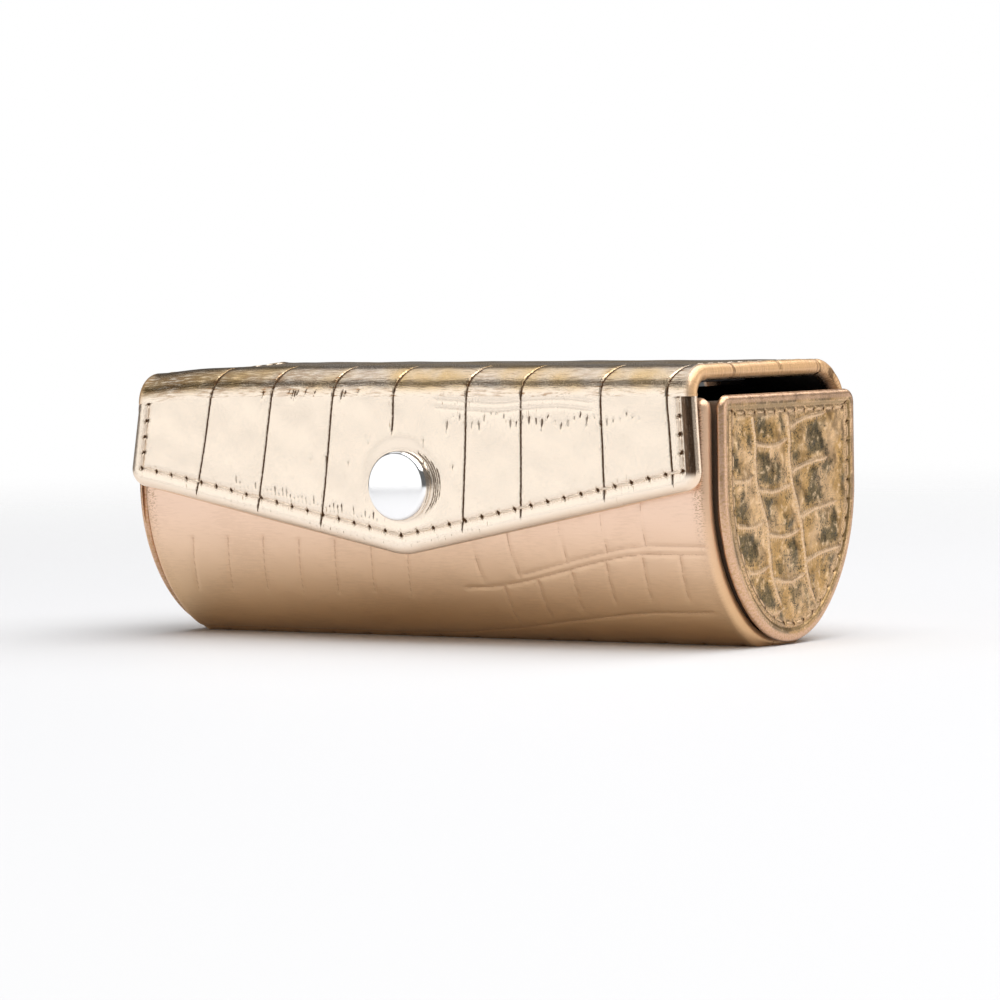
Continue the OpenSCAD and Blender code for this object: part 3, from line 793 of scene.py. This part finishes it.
def polished_metal():
    n = Nodes("polished_nickel")
    cloud = object_noise(n, 0.25)
    base = n.mix(cloud, rgb(0.94, 0.94, 0.95), rgb(0.98, 0.98, 0.98))
    rough = n.ramp(object_noise(n, 3.0), 0.3, 0.7, 0.10, 0.14, "LINEAR")
    return n.set(Base_Color=base, Roughness=rough, Metallic=1.0)


def mirror_silver():
    n = Nodes("silvered_mirror")
    haze = object_noise(n, 0.08)
    base = n.mix(haze, rgb(0.80, 0.83, 0.84), rgb(0.86, 0.88, 0.89))
    return n.set(Base_Color=base, Roughness=0.03, Metallic=1.0)


def foam_tape():
    n = Nodes("foam_tape")
    cells = object_noise(n, 2.2, 4.0)
    base = n.mix(cells, rgb(0.05, 0.05, 0.05), rgb(0.16, 0.16, 0.16))
    return n.set(Base_Color=base, Roughness=0.85, Normal=n.bump(cells, 0.6, 0.1))


def grey_paint():
    n = Nodes("mirror_paint")
    speck = object_noise(n, 1.5)
    base = n.mix(speck, rgb(0.18, 0.18, 0.19), rgb(0.26, 0.26, 0.27))
    return n.set(Base_Color=base, Roughness=0.6, Normal=n.bump(speck, 0.2, 0.03))


FLAP_LEATHER = foil_leather("flap_foil_leather", CHAMPAGNE, CHAMPAGNE, 0.2, True, 0.85, 0.0,
                            edge_wear=0.3, halo=0.5, dark_edge_reflection=0.95)
TOP_LEATHER = foil_leather("top_foil_leather", GOLD, CHAMPAGNE, 0.22, False, 0.95, 0.35,
                           edge_wear=0.95, halo=0.5, lines_from=0.54, left_shade=0.9)
SHELL_LEATHER = foil_leather("shell_foil_leather", ROSE, ROSE, 0.36, False, 0.1, 0.1,
                             bottom_shade=0.9, specks=0.8, crack_tone=LINE)
PANEL_LEATHER = panel_leather()
THREAD = thread("champagne_thread", rgb(0.90, 0.72, 0.55), rgb(0.98, 0.86, 0.72))
PANEL_THREAD = thread("tan_thread", rgb(0.60, 0.40, 0.22), rgb(0.84, 0.60, 0.38))
LINING_CLOTH = black_microfibre()
BOARD = fibreboard()
PLASTIC = moulded_plastic()
METAL = polished_metal()
MIRROR = mirror_silver()
TAPE = foam_tape()
PAINT = grey_paint()


def dress(obj, material):
    obj.data.materials.clear()
    obj.data.materials.append(material)
    return obj


# ------------------------------------------------------------------ leather pieces

PITCH = 0.3


def side_seam(v0, v1):
    """Stitches along both turned sides of the hide."""
    out = []
    for u in (SIDE_SEAM_INSET - LID_HALF, LID_HALF - SIDE_SEAM_INSET):
        out += stitches_on([(u, v0), (u, v1)])
    return out


LID_SEAM = side_seam(V_HINGE - 1, V_LID + 0.5)


def shell_piece():
    v = spaced(V_BACK, V_LIP, PITCH, False, True)
    u, v, edge = strip(v, PITCH, lip=V_LIP)
    lined = (np.abs(u) < SHELL_END - HEM) & (v < V_LIP - LIP_HEM)
    obj = hide_slab("shell_skin", u, v, edge, lined, pillow=0.12)
    dress(obj, SHELL_LEATHER)
    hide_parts("shell_leather")
    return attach(obj, "case")


def hinge_piece():
    u, v, edge = strip(np.linspace(V_HINGE, V_BACK, 36), PITCH)
    lined = np.abs(u) < LID_HALF - BEND_HEM
    obj = hide_slab("hinge_skin", u, v, edge, lined)
    dress(obj, TOP_LEATHER)
    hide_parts("hinge_leather")
    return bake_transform(obj)


def lid_piece():
    u, v, edge = strip(np.linspace(V_LID, V_HINGE, 100), PITCH)
    lined = np.abs(u) < LID_HALF - HEM
    obj = hide_slab("lid_skin", u, v, edge, lined, LID_SEAM)
    dress(obj, TOP_LEATHER)
    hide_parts("lid_leather")
    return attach(obj, "lid")


def lid_layer(name, node, half, depth, thickness, material):
    """A flat layer inside the lid that hangs with its leather."""
    u = np.linspace(-half, half, 121)
    v = np.linspace(V_LID, V_HINGE, 41)
    u, v = np.meshgrid(u, v, indexing="ij")
    flat = np.zeros_like(u)
    obj = slab(name, hide_point(u, v, flat + depth), hide_point(u, v, flat + depth + thickness),
               {"edge": flat})
    dress(obj, material)
    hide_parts(node)
    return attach(obj, "lid")


def crease_piece():
    u, v, edge = strip(np.linspace(0, V_LID, 36), 0.2)
    lined = np.abs(u) < LID_HALF - BEND_HEM
    obj = hide_slab("crease_skin", u, v, edge, lined)
    dress(obj, TOP_LEATHER)
    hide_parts("crease_leather")
    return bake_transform(obj)


def rounded_corner(a, b, c, r, steps):
    """Points of the arc that rounds the corner b between a and c."""
    a, b, c = (np.array(p, float) for p in (a, b, c))
    d0, d1 = (b - a) / np.hypot(*(b - a)), (c - b) / np.hypot(*(c - b))
    turn = math.acos(float(d0 @ d1))
    side = np.array([-d0[1], d0[0]])
    centre = b - d0 * r * math.tan(turn / 2) + side * r
    a0 = math.atan2(-side[1], -side[0])
    angles = np.linspace(a0, a0 + turn, steps)
    return np.stack([centre[0] + r * np.cos(angles), centre[1] + r * np.sin(angles)], -1)


FLAP_CORNERS = [(-LID_HALF, 0), (FLAP_LEFT, CORNER_V), (TIP_U, TIP_V), (FLAP_RIGHT, CORNER_V),
                (LID_HALF, 0)]


def flap_outline(corners, corner_r, tip_r):
    """The flap's free edge in (u, v), from the crease's left end to its right end."""
    parts = [np.array([corners[0]], float)]
    for k, r in ((1, corner_r), (2, tip_r), (3, corner_r)):
        parts.append(rounded_corner(corners[k - 1], corners[k], corners[k + 1], r, 16))
    parts.append(np.array([corners[4]], float))
    return np.concatenate(parts)


def inset_line(corners, insets):
    """The open line through the corners, with each side moved in by its own distance."""
    p = [np.array(c, float) for c in corners]
    sides = []
    for a, b, inset in zip(p[:-1], p[1:], insets):
        d = (b - a) / np.hypot(*(b - a))
        sides.append((a + inset * np.array([-d[1], d[0]]), d))
    out = [sides[0][0]]
    for (q, d), (r, e) in zip(sides[:-1], sides[1:]):
        t = np.linalg.solve(np.stack([d, -e], -1), r - q)[0]
        out.append(q + d * t)
    q, d = sides[-1]
    out.append(q + d * np.hypot(*(p[-1] - p[-2])))
    return out


def flap_grid(corners, corner_r, tip_r, pitch, rows):
    """Grids of u, v and edge distance that fill the flap's outline."""
    outline = flap_outline(corners, corner_r, tip_r)
    (left_0, _), (left_1, left_v), _, (right_1, right_v), (right_0, _) = corners

    def left(v):
        return left_0 + (left_1 - left_0) * v / left_v

    def right(v):
        return right_0 + (right_1 - right_0) * v / right_v

    bottom = outline[1:-1]
    share = (bottom[:, 0] - left(bottom[:, 1])) / (right(bottom[:, 1]) - left(bottom[:, 1]))
    columns = (spaced(left_0, right_0, pitch, True, True) - left_0) / (right_0 - left_0)
    # The straight slopes need no more points than the arcs give; the share is monotonic
    low_v = np.interp(columns, share, bottom[:, 1])
    t = 1 - (1 - np.linspace(0, 1, rows)) ** 1.25
    v = low_v[:, None] * t[None, :]
    u = left(v) + columns[:, None] * (right(v) - left(v))
    p = np.stack([u.ravel(), v.ravel()], -1)
    edge = distance_to_line(p, outline)[0].reshape(u.shape)
    edge[0, :] = edge[-1, :] = edge[:, -1] = 0
    return u, v, edge


def flap_piece():
    u, v, edge = flap_grid(FLAP_CORNERS, CORNER_R, TIP_R, 0.125, 104)
    stitches = stitches_on(inset_line(FLAP_CORNERS, FLAP_SEAM))
    lined = edge > HEM + 0.4
    height, attributes = hide_fields(u, v, edge, stitches, pillow=0.04, carve=0.5)
    cap = np.hypot(u - CAP_X, v - CAP_V)
    height -= 0.22 * np.exp(-((cap - CAP_R) / 1.1) ** 2)
    height = np.where(cap < CAP_R - 1, -0.15, height)
    height *= np.clip(edge / EDGE_FADE, 0, 1)
    outer = hide_point(u, v, rolled(edge, FLAP_ROLL) - height)
    inner = hide_point(u, v, np.where(lined, LEATHER, WALL - rolled(edge)))
    obj = slab("flap_skin", outer, inner, attributes)
    dress(obj, FLAP_LEATHER)
    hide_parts("flap_leather")
    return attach(obj, "flap"), stitches


def lining_sheet(name, node, seen, back, body):
    """A glued lining, from the grid that shows and the grid behind it; it replaces a CAD node."""
    obj = slab(name, seen, back, {"edge": np.zeros(seen.shape[:2])})
    dress(obj, LINING_CLOTH)
    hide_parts(node)
    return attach(obj, body)


PROUD = 0.03                                 # the linings overlap the turned hems by this much


def shell_lining_piece():
    _, hi = box_mm("shell_lining")
    v = np.linspace(V_BACK + HINGE_Z - hi[2], V_LIP - LIP_Z + hi[2], 120)
    u, v = np.meshgrid(np.linspace(-hi[0], hi[0], 91), v, indexing="ij")
    flat = np.zeros_like(u)
    return lining_sheet("shell_lining_sheet", "shell_lining", hide_point(u, v, flat + WALL + PROUD),
                        hide_point(u, v, flat + WALL - LINING), "case")


def flap_lining_piece():
    """Inside the hem, and sunk under the snap's socket, whose bore is open."""
    inset, sunk_r, rise = HEM - 0.4, 3.35, 0.7
    corners = inset_line(FLAP_CORNERS, (inset,) * 4)
    corners[0], corners[-1] = (corners[0][0], 0), (corners[-1][0], 0)
    u, v, _ = flap_grid(corners, 0.3, TIP_R - inset, 0.4, 60)
    r = np.hypot(u - CAP_X, v - CAP_V)
    floor, top = LEATHER + 0.15, WALL - 0.01
    seen = floor + (top - floor) * eased(r, sunk_r, sunk_r + rise)
    seen += (PROUD + 0.01) * np.clip((r - 4.5) / 0.6, 0, 1)
    back = seen - 0.1 - 0.28 * np.clip((r - 4.3) / 0.5, 0, 1)
    return lining_sheet("flap_lining_sheet", "flap_lining", hide_point(u, v, seen),
                        hide_point(u, v, back), "flap")


# ------------------------------------------------------------------ stitches


def thread_mesh(name, places, material):
    """Stitches at (point, direction, normal): short twisted threads that dive at their ends."""
    rings, around = 9, 8
    points, faces, marks = [], [], []
    for centre, way, normal in places:
        across = np.cross(normal, way)
        start = len(points)
        for i in range(rings):
            s = -1 + 2 * i / (rings - 1)
            r = THREAD_R * (1 - abs(s) ** 3.2 * 0.75)
            lift = 0.12 - 0.34 * s ** 4
            for k in range(around):
                a = 2 * math.pi * k / around
                ridge = 1 + 0.12 * math.cos(2 * a + 5.5 * s)
                rise, aside = r * ridge * math.sin(a), r * ridge * math.cos(a)
                points.append(centre + way * s * THREAD_HALF + normal * (lift + rise)
                              + across * aside)
                marks.append((3.0 * s + 0.5 * a, a, 0.0))
        for i in range(rings - 1):
            for k in range(around):
                j = (k + 1) % around
                a, b = start + i * around, start + (i + 1) * around
                faces.append([a + k, a + j, b + j, b + k])
        faces.append([start + k for k in reversed(range(around))])
        faces.append([start + (rings - 1) * around + k for k in range(around)])
    obj = make_mesh(name, points, faces, {"hide": np.array(marks)})
    return dress(obj, material)


def on_hide(stitches):
    """Places in the case of stitches given in (u, v)."""
    out = []
    for (u, v), (du, dv) in stitches:
        y, z, ny, nz = (float(k[0]) for k in skin(np.array([v])))
        centre = hide_point(np.array([u]), np.array([v]), np.array([0.0]))[0]
        normal = np.array([0, ny, nz])
        way = np.array([du, dv * nz, -dv * ny])
        out.append((centre - 0.14 * normal, way / np.linalg.norm(way), normal))
    return out


# ------------------------------------------------------------------ end panels

PANEL_T = panel_hi[0] - panel_lo[0]
PANEL_Z = panel_hi[2]
PANEL_INSET = panel_lo[1] - (SHELL_Y - SHELL_R)
PANEL_CORNER = 1.8
PANEL_SEAM = 2.45
SEAM_SHIFT = 0.45                            # the seam sits a little to the rear of the middle


def d_outline(inset, top, corner):
    """The panel's D in (y, z), anticlockwise from the left end of the top edge."""
    half, offset = SHELL_R - inset, FLANK_R - SHELL_R
    turn = math.pi + FLANK_TURN

    def arc(cy, cz, r, a0, a1, steps):
        a = np.linspace(a0, a1, steps)
        return np.stack([cy + r * np.cos(a), cz + r * np.sin(a)], -1)

    parts = [arc(corner - half, top - corner, corner, math.pi / 2, math.pi, 8),
             arc(offset, WALL_Z, FLANK_R - inset, math.pi, turn, 24),
             arc(0, NOSE_Z, NOSE_R - inset, turn, 3 * math.pi - turn, 24),
             arc(-offset, WALL_Z, FLANK_R - inset, 3 * math.pi - turn, 2 * math.pi, 24),
             arc(half - corner, top - corner, corner, 0, math.pi / 2, 8)]
    return np.concatenate(parts)


def panel_grain():
    """Veins of an end panel, in y and z of the shell: two long ones that bend to the rear, and
    cross veins between them and out to both sides."""
    grain = Grain()
    top, foot, rows = PANEL_Z - 2, 5.0, 4

    def long_vein(start, z):
        return start + 7 * ((top - z) / (top - foot)) ** 1.4 + 0.5 * math.sin(z / 2)

    front, rear = -10.0, -1.0
    for start in (front, rear):
        grain.add([(long_vein(start, z), z) for z in np.linspace(top, foot, 8)], 0.62, 0.3)
    for k in range(rows):
        z = top - 4.5 - 6 * k
        a, b = long_vein(front, z), long_vein(rear, z)
        grain.add([(a, z), ((a + b) / 2, z - 0.4), (b, z + 0.5)], 0.55, 0.24)
        a = long_vein(front, z - 4)
        grain.add([(a - 7.5, z - 4.5), (a - 3.5, z - 4.8), (a, z - 4)], 0.55, 0.24)
        b = long_vein(rear, z + 2)
        grain.add([(b, z + 2), (b + 4.5, z + 3), (b + 10, z + 3.6)], 0.55, 0.24)
    return grain


def panel_stitches():
    """Stitches round the panel's face, inside its padded rim, in y and z of the shell."""
    line = d_outline(PANEL_INSET + PANEL_SEAM, PANEL_Z - PANEL_SEAM, 0.6)
    line = np.vstack([line, line[:1]]) + np.array([SEAM_SHIFT, 0])
    steps = np.hypot(*np.diff(line, axis=0).T)
    run = np.concatenate([[0], np.cumsum(steps)])
    count = round(run[-1] / STITCH_PITCH)
    out = []
    for i in range(count):
        s = (i + 0.5) * run[-1] / count
        ends = [np.array([np.interp(s + e, run, line[:, k]) for k in (0, 1)]) for e in (-0.4, 0.4)]
        way = (ends[1] - ends[0]) / np.hypot(*(ends[1] - ends[0]))
        out.append(((ends[0] + ends[1]) / 2, way))
    return out


def d_grid(outline, columns, t):
    """Grids of y and z that fill a D, from its top edge (t = 0) down to its curve (t = 1)."""
    top_line = np.vstack([outline[:8][::-1], outline[-8:][::-1]])
    low_line = outline[7:-7]
    y_low, keep = np.unique(np.round(low_line[:, 0], 5), return_index=True)
    low = np.interp(columns, y_low, low_line[keep, 1])
    top_order = np.argsort(top_line[:, 0], kind="stable")
    top = np.interp(columns, top_line[top_order, 0], top_line[top_order, 1])
    z = top[:, None] + (low - top)[:, None] * t[None, :]
    return np.repeat(columns[:, None], z.shape[1], 1), z


def end_lining_piece(side, name, node):
    lo, hi = box_mm(node)
    half, near = (hi[1] - lo[1]) / 2, min(abs(lo[0]), abs(hi[0]))
    y, z = d_grid(d_outline(SHELL_R - half, hi[2], 0.5), np.linspace(-half, half, 61),
                  np.linspace(0, 1, 61))
    seen, back = (np.stack([np.full_like(y, side * x), SHELL_Y + y, z], -1)
                  for x in (near, near + LINING))
    return lining_sheet(name, node, seen, back, "case")


def panel_piece(side, name, node, grain, stitches):
    """A padded panel: side is 1 at the right end and -1 at the left."""
    outline = d_outline(PANEL_INSET, PANEL_Z, PANEL_CORNER)
    half = SHELL_R - PANEL_INSET
    t = (1 - np.cos(np.linspace(0, np.pi, 190))) / 2
    t = 0.35 * t + 0.65 * np.linspace(0, 1, 190)
    y, z = d_grid(outline, spaced(-half, half, 0.19, True, True), t)
    p = np.stack([y.ravel(), z.ravel()], -1)
    closed = np.vstack([outline, outline[:1]])
    edge = distance_to_line(p, closed)[0].reshape(y.shape)
    edge[0, :] = edge[-1, :] = edge[:, 0] = edge[:, -1] = 0
    near, depth, _, along = grain.sample(y, z)
    channel, hole = seam_relief(y, z, stitches)
    edge_in = edge + SEAM_SHIFT * y / half
    face = np.clip((edge_in - PANEL_SEAM) / 0.6, 0, 1)
    vein = np.exp(-(near / 0.85) ** 2) * face
    # A padded rim with a ridge inside it, the seam's channel, and the face crowned a little
    rim_roll = PANEL_T * 0.5
    side_t = np.clip(rim_roll - edge, 0, rim_roll)
    drop = rim_roll - np.sqrt(np.maximum(rim_roll ** 2 - side_t ** 2, 0))
    height = 0.16 * np.exp(-((edge - 1.05) / 0.55) ** 2)
    height -= 0.16 * np.exp(-((edge - 1.9) / 0.22) ** 2)
    height += 0.06 * np.exp(-((edge - 2.3) / 0.2) ** 2)
    height -= 0.12 * channel + 0.3 * np.exp(-hole ** 2)
    height += vein * depth * 0.8 - 0.16 * face
    height += face * (0.10 * ripple(y, z, 4.2, 12) + 0.03 * ripple(y, z, 1.3, 13))
    height *= np.clip(edge / 0.4, 0, 1)
    out_x = panel_hi[0] - 0.1 - drop + np.minimum(height, 0.1)
    in_x = np.minimum(panel_lo[0] + drop, out_x)
    in_x = np.where(edge > 1.9, panel_hi[0] - 0.7, in_x)
    outer = np.stack([side * out_x, SHELL_Y + y, z], -1)
    inner = np.stack([side * in_x, SHELL_Y + y, z], -1)
    rim = np.clip((1.3 - edge) / 0.35, 0, 1)
    attributes = {"hide": np.stack([y, z, 0 * y], -1), "groove": near, "along": along,
                  "vein": np.clip(vein * 1.6, 0, 1), "rim": rim, "hole": hole, "edge": edge}
    obj = slab(name, outer, inner, attributes)
    dress(obj, PANEL_LEATHER)
    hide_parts(node)
    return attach(obj, "case")


# ------------------------------------------------------------------ linings of the bends


def bend_lining(name, node, centre, r, span):
    """A thin curved sheet of lining inside a bend, from angle span[0] to span[1]."""
    half = LID_HALF - BEND_HEM
    across = np.linspace(-half, half, 40)
    a = np.linspace(*span, 24)
    grids = []
    for radius in (r, r - LINING + 0.02):
        x, y = np.meshgrid(across, centre[0] + radius * np.cos(a), indexing="ij")
        z = np.repeat((centre[1] + radius * np.sin(a))[None, :], len(across), 0)
        grids.append(np.stack([x, y, hung(x, y, z)], -1))
    flat = np.zeros(grids[0].shape[:2])
    obj = slab(name, grids[0], grids[1], {"groove": flat})
    dress(obj, LINING_CLOTH)
    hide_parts(node)
    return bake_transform(obj)


# ------------------------------------------------------------------ metal and mirror


def turned_mesh(name, profile, axis_x, axis_z, steps=96):
    """A solid of revolution about an axis along Y, from (radius, y) points that start and end
    on the axis."""
    points, faces = [], []
    for r, y in profile[1:-1]:
        for k in range(steps):
            a = 2 * math.pi * k / steps
            points.append((axis_x + r * math.cos(a), y, axis_z + r * math.sin(a)))
    rings = len(profile) - 2
    for i in range(rings - 1):
        for k in range(steps):
            j = (k + 1) % steps
            faces.append([i * steps + k, i * steps + j, (i + 1) * steps + j, (i + 1) * steps + k])
    points.append((axis_x, profile[0][1], axis_z))
    points.append((axis_x, profile[-1][1], axis_z))
    first, last = len(points) - 2, len(points) - 1
    for k in range(steps):
        j = (k + 1) % steps
        faces.append([first, j, k])
        faces.append([last, (rings - 1) * steps + k, (rings - 1) * steps + j])
    return make_mesh(name, points, faces)


def cap_piece():
    """Low domed cap: a crown, a round shoulder, a rim that sinks into the leather, and a post."""
    y0, height = cap_lo[1], FLAP_Y - cap_lo[1]
    shoulder, sag, sunk, post_r = 0.62, 0.3, 0.25, 1.1
    crown_r = CAP_R - shoulder
    profile = [(0, y0)]
    profile += [(crown_r * t, y0 + sag * t ** 2) for t in np.linspace(0.06, 1, 18)]
    slope = math.atan(2 * sag / crown_r)
    for a in np.linspace(slope, math.radians(97), 14):
        profile.append((crown_r + shoulder * (math.sin(a) - math.sin(slope)),
                        y0 + sag + (height - sag) * (math.cos(slope) - math.cos(a)) / 1.1))
    profile += [(CAP_R - 0.3, FLAP_Y + sunk), (post_r, FLAP_Y + sunk),
                (post_r, FLAP_Y + LEATHER), (0, FLAP_Y + LEATHER)]
    obj = turned_mesh("domed_cap", profile, CAP_X, CAP_Z)
    dress(obj, METAL)
    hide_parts("snap_cap")
    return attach(obj, "flap")


def mirror_piece():
    """The mirror glass with rounded corners and a narrow bevel on its lower face."""
    lo, hi = box_mm("mirror_glass")
    corner, bevel = 2.0, 0.35
    centre = (lo + hi) / 2

    def ring(inset, z):
        hx, hy = (hi[0] - lo[0]) / 2 - inset, (hi[1] - lo[1]) / 2 - inset
        r = max(corner - inset, 0.4)
        out = []
        for sx, sy, a0 in ((1, 1, 0), (-1, 1, 90), (-1, -1, 180), (1, -1, 270)):
            for a in np.radians(np.linspace(a0, a0 + 90, 9)):
                out.append((centre[0] + sx * (hx - r) + r * math.cos(a),
                            centre[1] + sy * (hy - r) + r * math.sin(a), z))
        return out

    rings = [ring(0.1, hi[2]), ring(0, hi[2] - 0.1), ring(0, lo[2] + bevel), ring(bevel * 2, lo[2])]
    count = len(rings[0])
    points = [p for r in rings for p in r]
    faces = [list(range(count)), list(reversed(range(3 * count, 4 * count)))]
    for i in range(3):
        for k in range(count):
            j = (k + 1) % count
            faces.append([i * count + k, (i + 1) * count + k, (i + 1) * count + j, i * count + j])
    obj = make_mesh("bevelled_mirror", points, faces, smooth=False)
    dress(obj, MIRROR)
    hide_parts("mirror_glass")
    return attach(obj, "lid")


# ------------------------------------------------------------------ assembly

shell_piece()
hinge_piece()
lid_piece()
lid_layer("lid_board_sheet", "lid_board", LID_HALF - 1, LEATHER + 0.01, WALL - LEATHER - LINING,
          BOARD)
lid_layer("lid_lining_sheet", "lid_lining", LID_HALF - HEM, WALL - LINING, LINING - 0.02,
          LINING_CLOTH)
crease_piece()
_, flap_seam = flap_piece()
shell_lining_piece()
flap_lining_piece()
cap_piece()
mirror_piece()

flap_thread = thread_mesh("flap_thread", on_hide(flap_seam), THREAD)
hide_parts("flap_stitching")
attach(flap_thread, "flap")
lid_thread = thread_mesh("lid_thread", on_hide(LID_SEAM), THREAD)
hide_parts("lid_stitching")
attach(lid_thread, "lid")

veins = panel_grain()
panel_seam = panel_stitches()
for side, word in ((-1, "left"), (1, "right")):
    panel_piece(side, word + "_panel_skin", word + "_end_leather", veins, panel_seam)
    end_lining_piece(side, word + "_end_lining_sheet", word + "_end_lining")
    places = [(np.array([side * (panel_hi[0] - 0.42), SHELL_Y + y, z]),
               np.array([0, dy, dz]), np.array([side, 0, 0]))
              for (y, z), (dy, dz) in panel_seam]
    panel_thread = thread_mesh(word + "_panel_thread", places, PANEL_THREAD)
    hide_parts(word + "_end_stitching")
    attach(panel_thread, "case")

bend_lining("crease_lining_sheet", "crease_lining", (CREASE_Y, CREASE_Z), CREASE_R - LEATHER,
            (math.pi / 2, math.pi))
bend_lining("hinge_lining_sheet", "hinge_lining", (HINGE_Y, HINGE_Z), HINGE_R - LEATHER,
            (0, math.pi / 2))

CARRIED = {
    "shell_board": PLASTIC, "flap_board": BOARD,
    "left_end_core": PLASTIC, "left_end_board": PLASTIC,
    "right_end_core": PLASTIC, "right_end_board": PLASTIC,
    "snap_stud": METAL, "snap_washer": METAL, "snap_socket": METAL, "snap_spring": METAL,
    "mirror_pad": TAPE, "mirror_backing": PAINT,
}
for node, material in CARRIED.items():
    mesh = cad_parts[node].data
    mesh.materials.clear()
    mesh.materials.append(material)

# ------------------------------------------------------------------ stage, light and camera


def stage_floor():
    """A pale floor that fades out into the white surroundings."""
    bpy.ops.mesh.primitive_circle_add(vertices=96, radius=FLOOR_R, fill_type="NGON")
    floor = bpy.context.object
    floor.name = "studio_floor"
    n = Nodes("pale_floor")
    place = n.add("ShaderNodeTexCoord").outputs["Object"]
    radius = n.add("ShaderNodeVectorMath", operation="LENGTH", inputs={0: place}).outputs["Value"]
    n.set(Base_Color=rgb(0.74, 0.74, 0.75), Roughness=0.6, Specular_IOR_Level=0.3,
          Alpha=n.ramp(radius, FLOOR_R * 0.12, FLOOR_R * 0.7, 1.0, 0.0))
    floor.data.materials.append(n.material)


def aimed(name, data, azimuth, elevation, distance, aim, roll=0.0):
    """A light or camera on a sphere round its aim; azimuth 0 is in front, 90 at the right."""
    a, e = math.radians(azimuth), math.radians(elevation)
    back = Vector((math.sin(a) * math.cos(e), -math.cos(a) * math.cos(e), math.sin(e)))
    obj = bpy.data.objects.new(name, data)
    obj.location = Vector(aim) + back * distance
    obj.rotation_mode = "QUATERNION"
    turn = Quaternion((0, 0, 1), math.radians(roll))
    obj.rotation_quaternion = (-back).to_track_quat("-Z", "Y") @ turn
    bpy.context.scene.collection.objects.link(obj)
    return obj


LIGHT_AIM = (0, 0, 0.02)


def softbox(name, azimuth, elevation, distance, size, power):
    light = bpy.data.lights.new(name, "AREA")
    light.shape = "RECTANGLE"
    light.size, light.size_y = size
    light.energy = power
    aimed(name, light, azimuth, elevation, distance, LIGHT_AIM)


def studio_world(dim_light=0.12):
    """White to the camera, dim and even to everything else."""
    world = bpy.data.worlds.new("studio")
    bpy.context.scene.world = world
    world.use_nodes = True
    tree = world.node_tree
    tree.nodes.clear()
    out = tree.nodes.new("ShaderNodeOutputWorld")
    mix = tree.nodes.new("ShaderNodeMixShader")
    path = tree.nodes.new("ShaderNodeLightPath")
    dim, white = (tree.nodes.new("ShaderNodeBackground") for _ in range(2))
    dim.inputs["Color"].default_value = rgb(1, 1, 1)
    dim.inputs["Strength"].default_value = dim_light
    white.inputs["Strength"].default_value = 1.0
    white.inputs["Color"].default_value = rgb(1, 1, 1)
    tree.links.new(path.outputs["Is Camera Ray"], mix.inputs[0])
    tree.links.new(dim.outputs[0], mix.inputs[1])
    tree.links.new(white.outputs[0], mix.inputs[2])
    tree.links.new(mix.outputs[0], out.inputs[0])


FLOOR_R = 0.9
# The photo's view. A least-squares fit to points read from the photo gave these values.
CAMERA_AZIMUTH = 33.43
CAMERA_ELEVATION = 2.56
CAMERA_ROLL = -0.96
CAMERA_DISTANCE = 0.6552
CAMERA_LENS = 171.98
CAMERA_AIM = (0.00099, 0.00256, 0.01852)


def studio_camera():
    camera = bpy.data.cameras.new("photo_camera")
    camera.lens, camera.sensor_width = CAMERA_LENS, 36.0
    camera.clip_start = 0.01
    bpy.context.scene.camera = aimed("photo_camera", camera, CAMERA_AZIMUTH, CAMERA_ELEVATION,
                                     CAMERA_DISTANCE, CAMERA_AIM, CAMERA_ROLL)


stage_floor()
studio_world()
softbox("key_front_left", -36, 13, 1.1, (1.2, 0.66), 2.45)
softbox("overhead", 74, 73, 1.25, (1.6, 1.6), 25)
softbox("right_rear", 120, 8, 1.1, (1.0, 0.5), 2.0)
softbox("rear_fill", 158, 45, 1.2, (0.7, 0.6), 4)
softbox("crease_light", -95, 56, 1.0, (0.95, 0.42), 0.95)
studio_camera()
bpy.context.scene.view_settings.view_transform = "Standard"
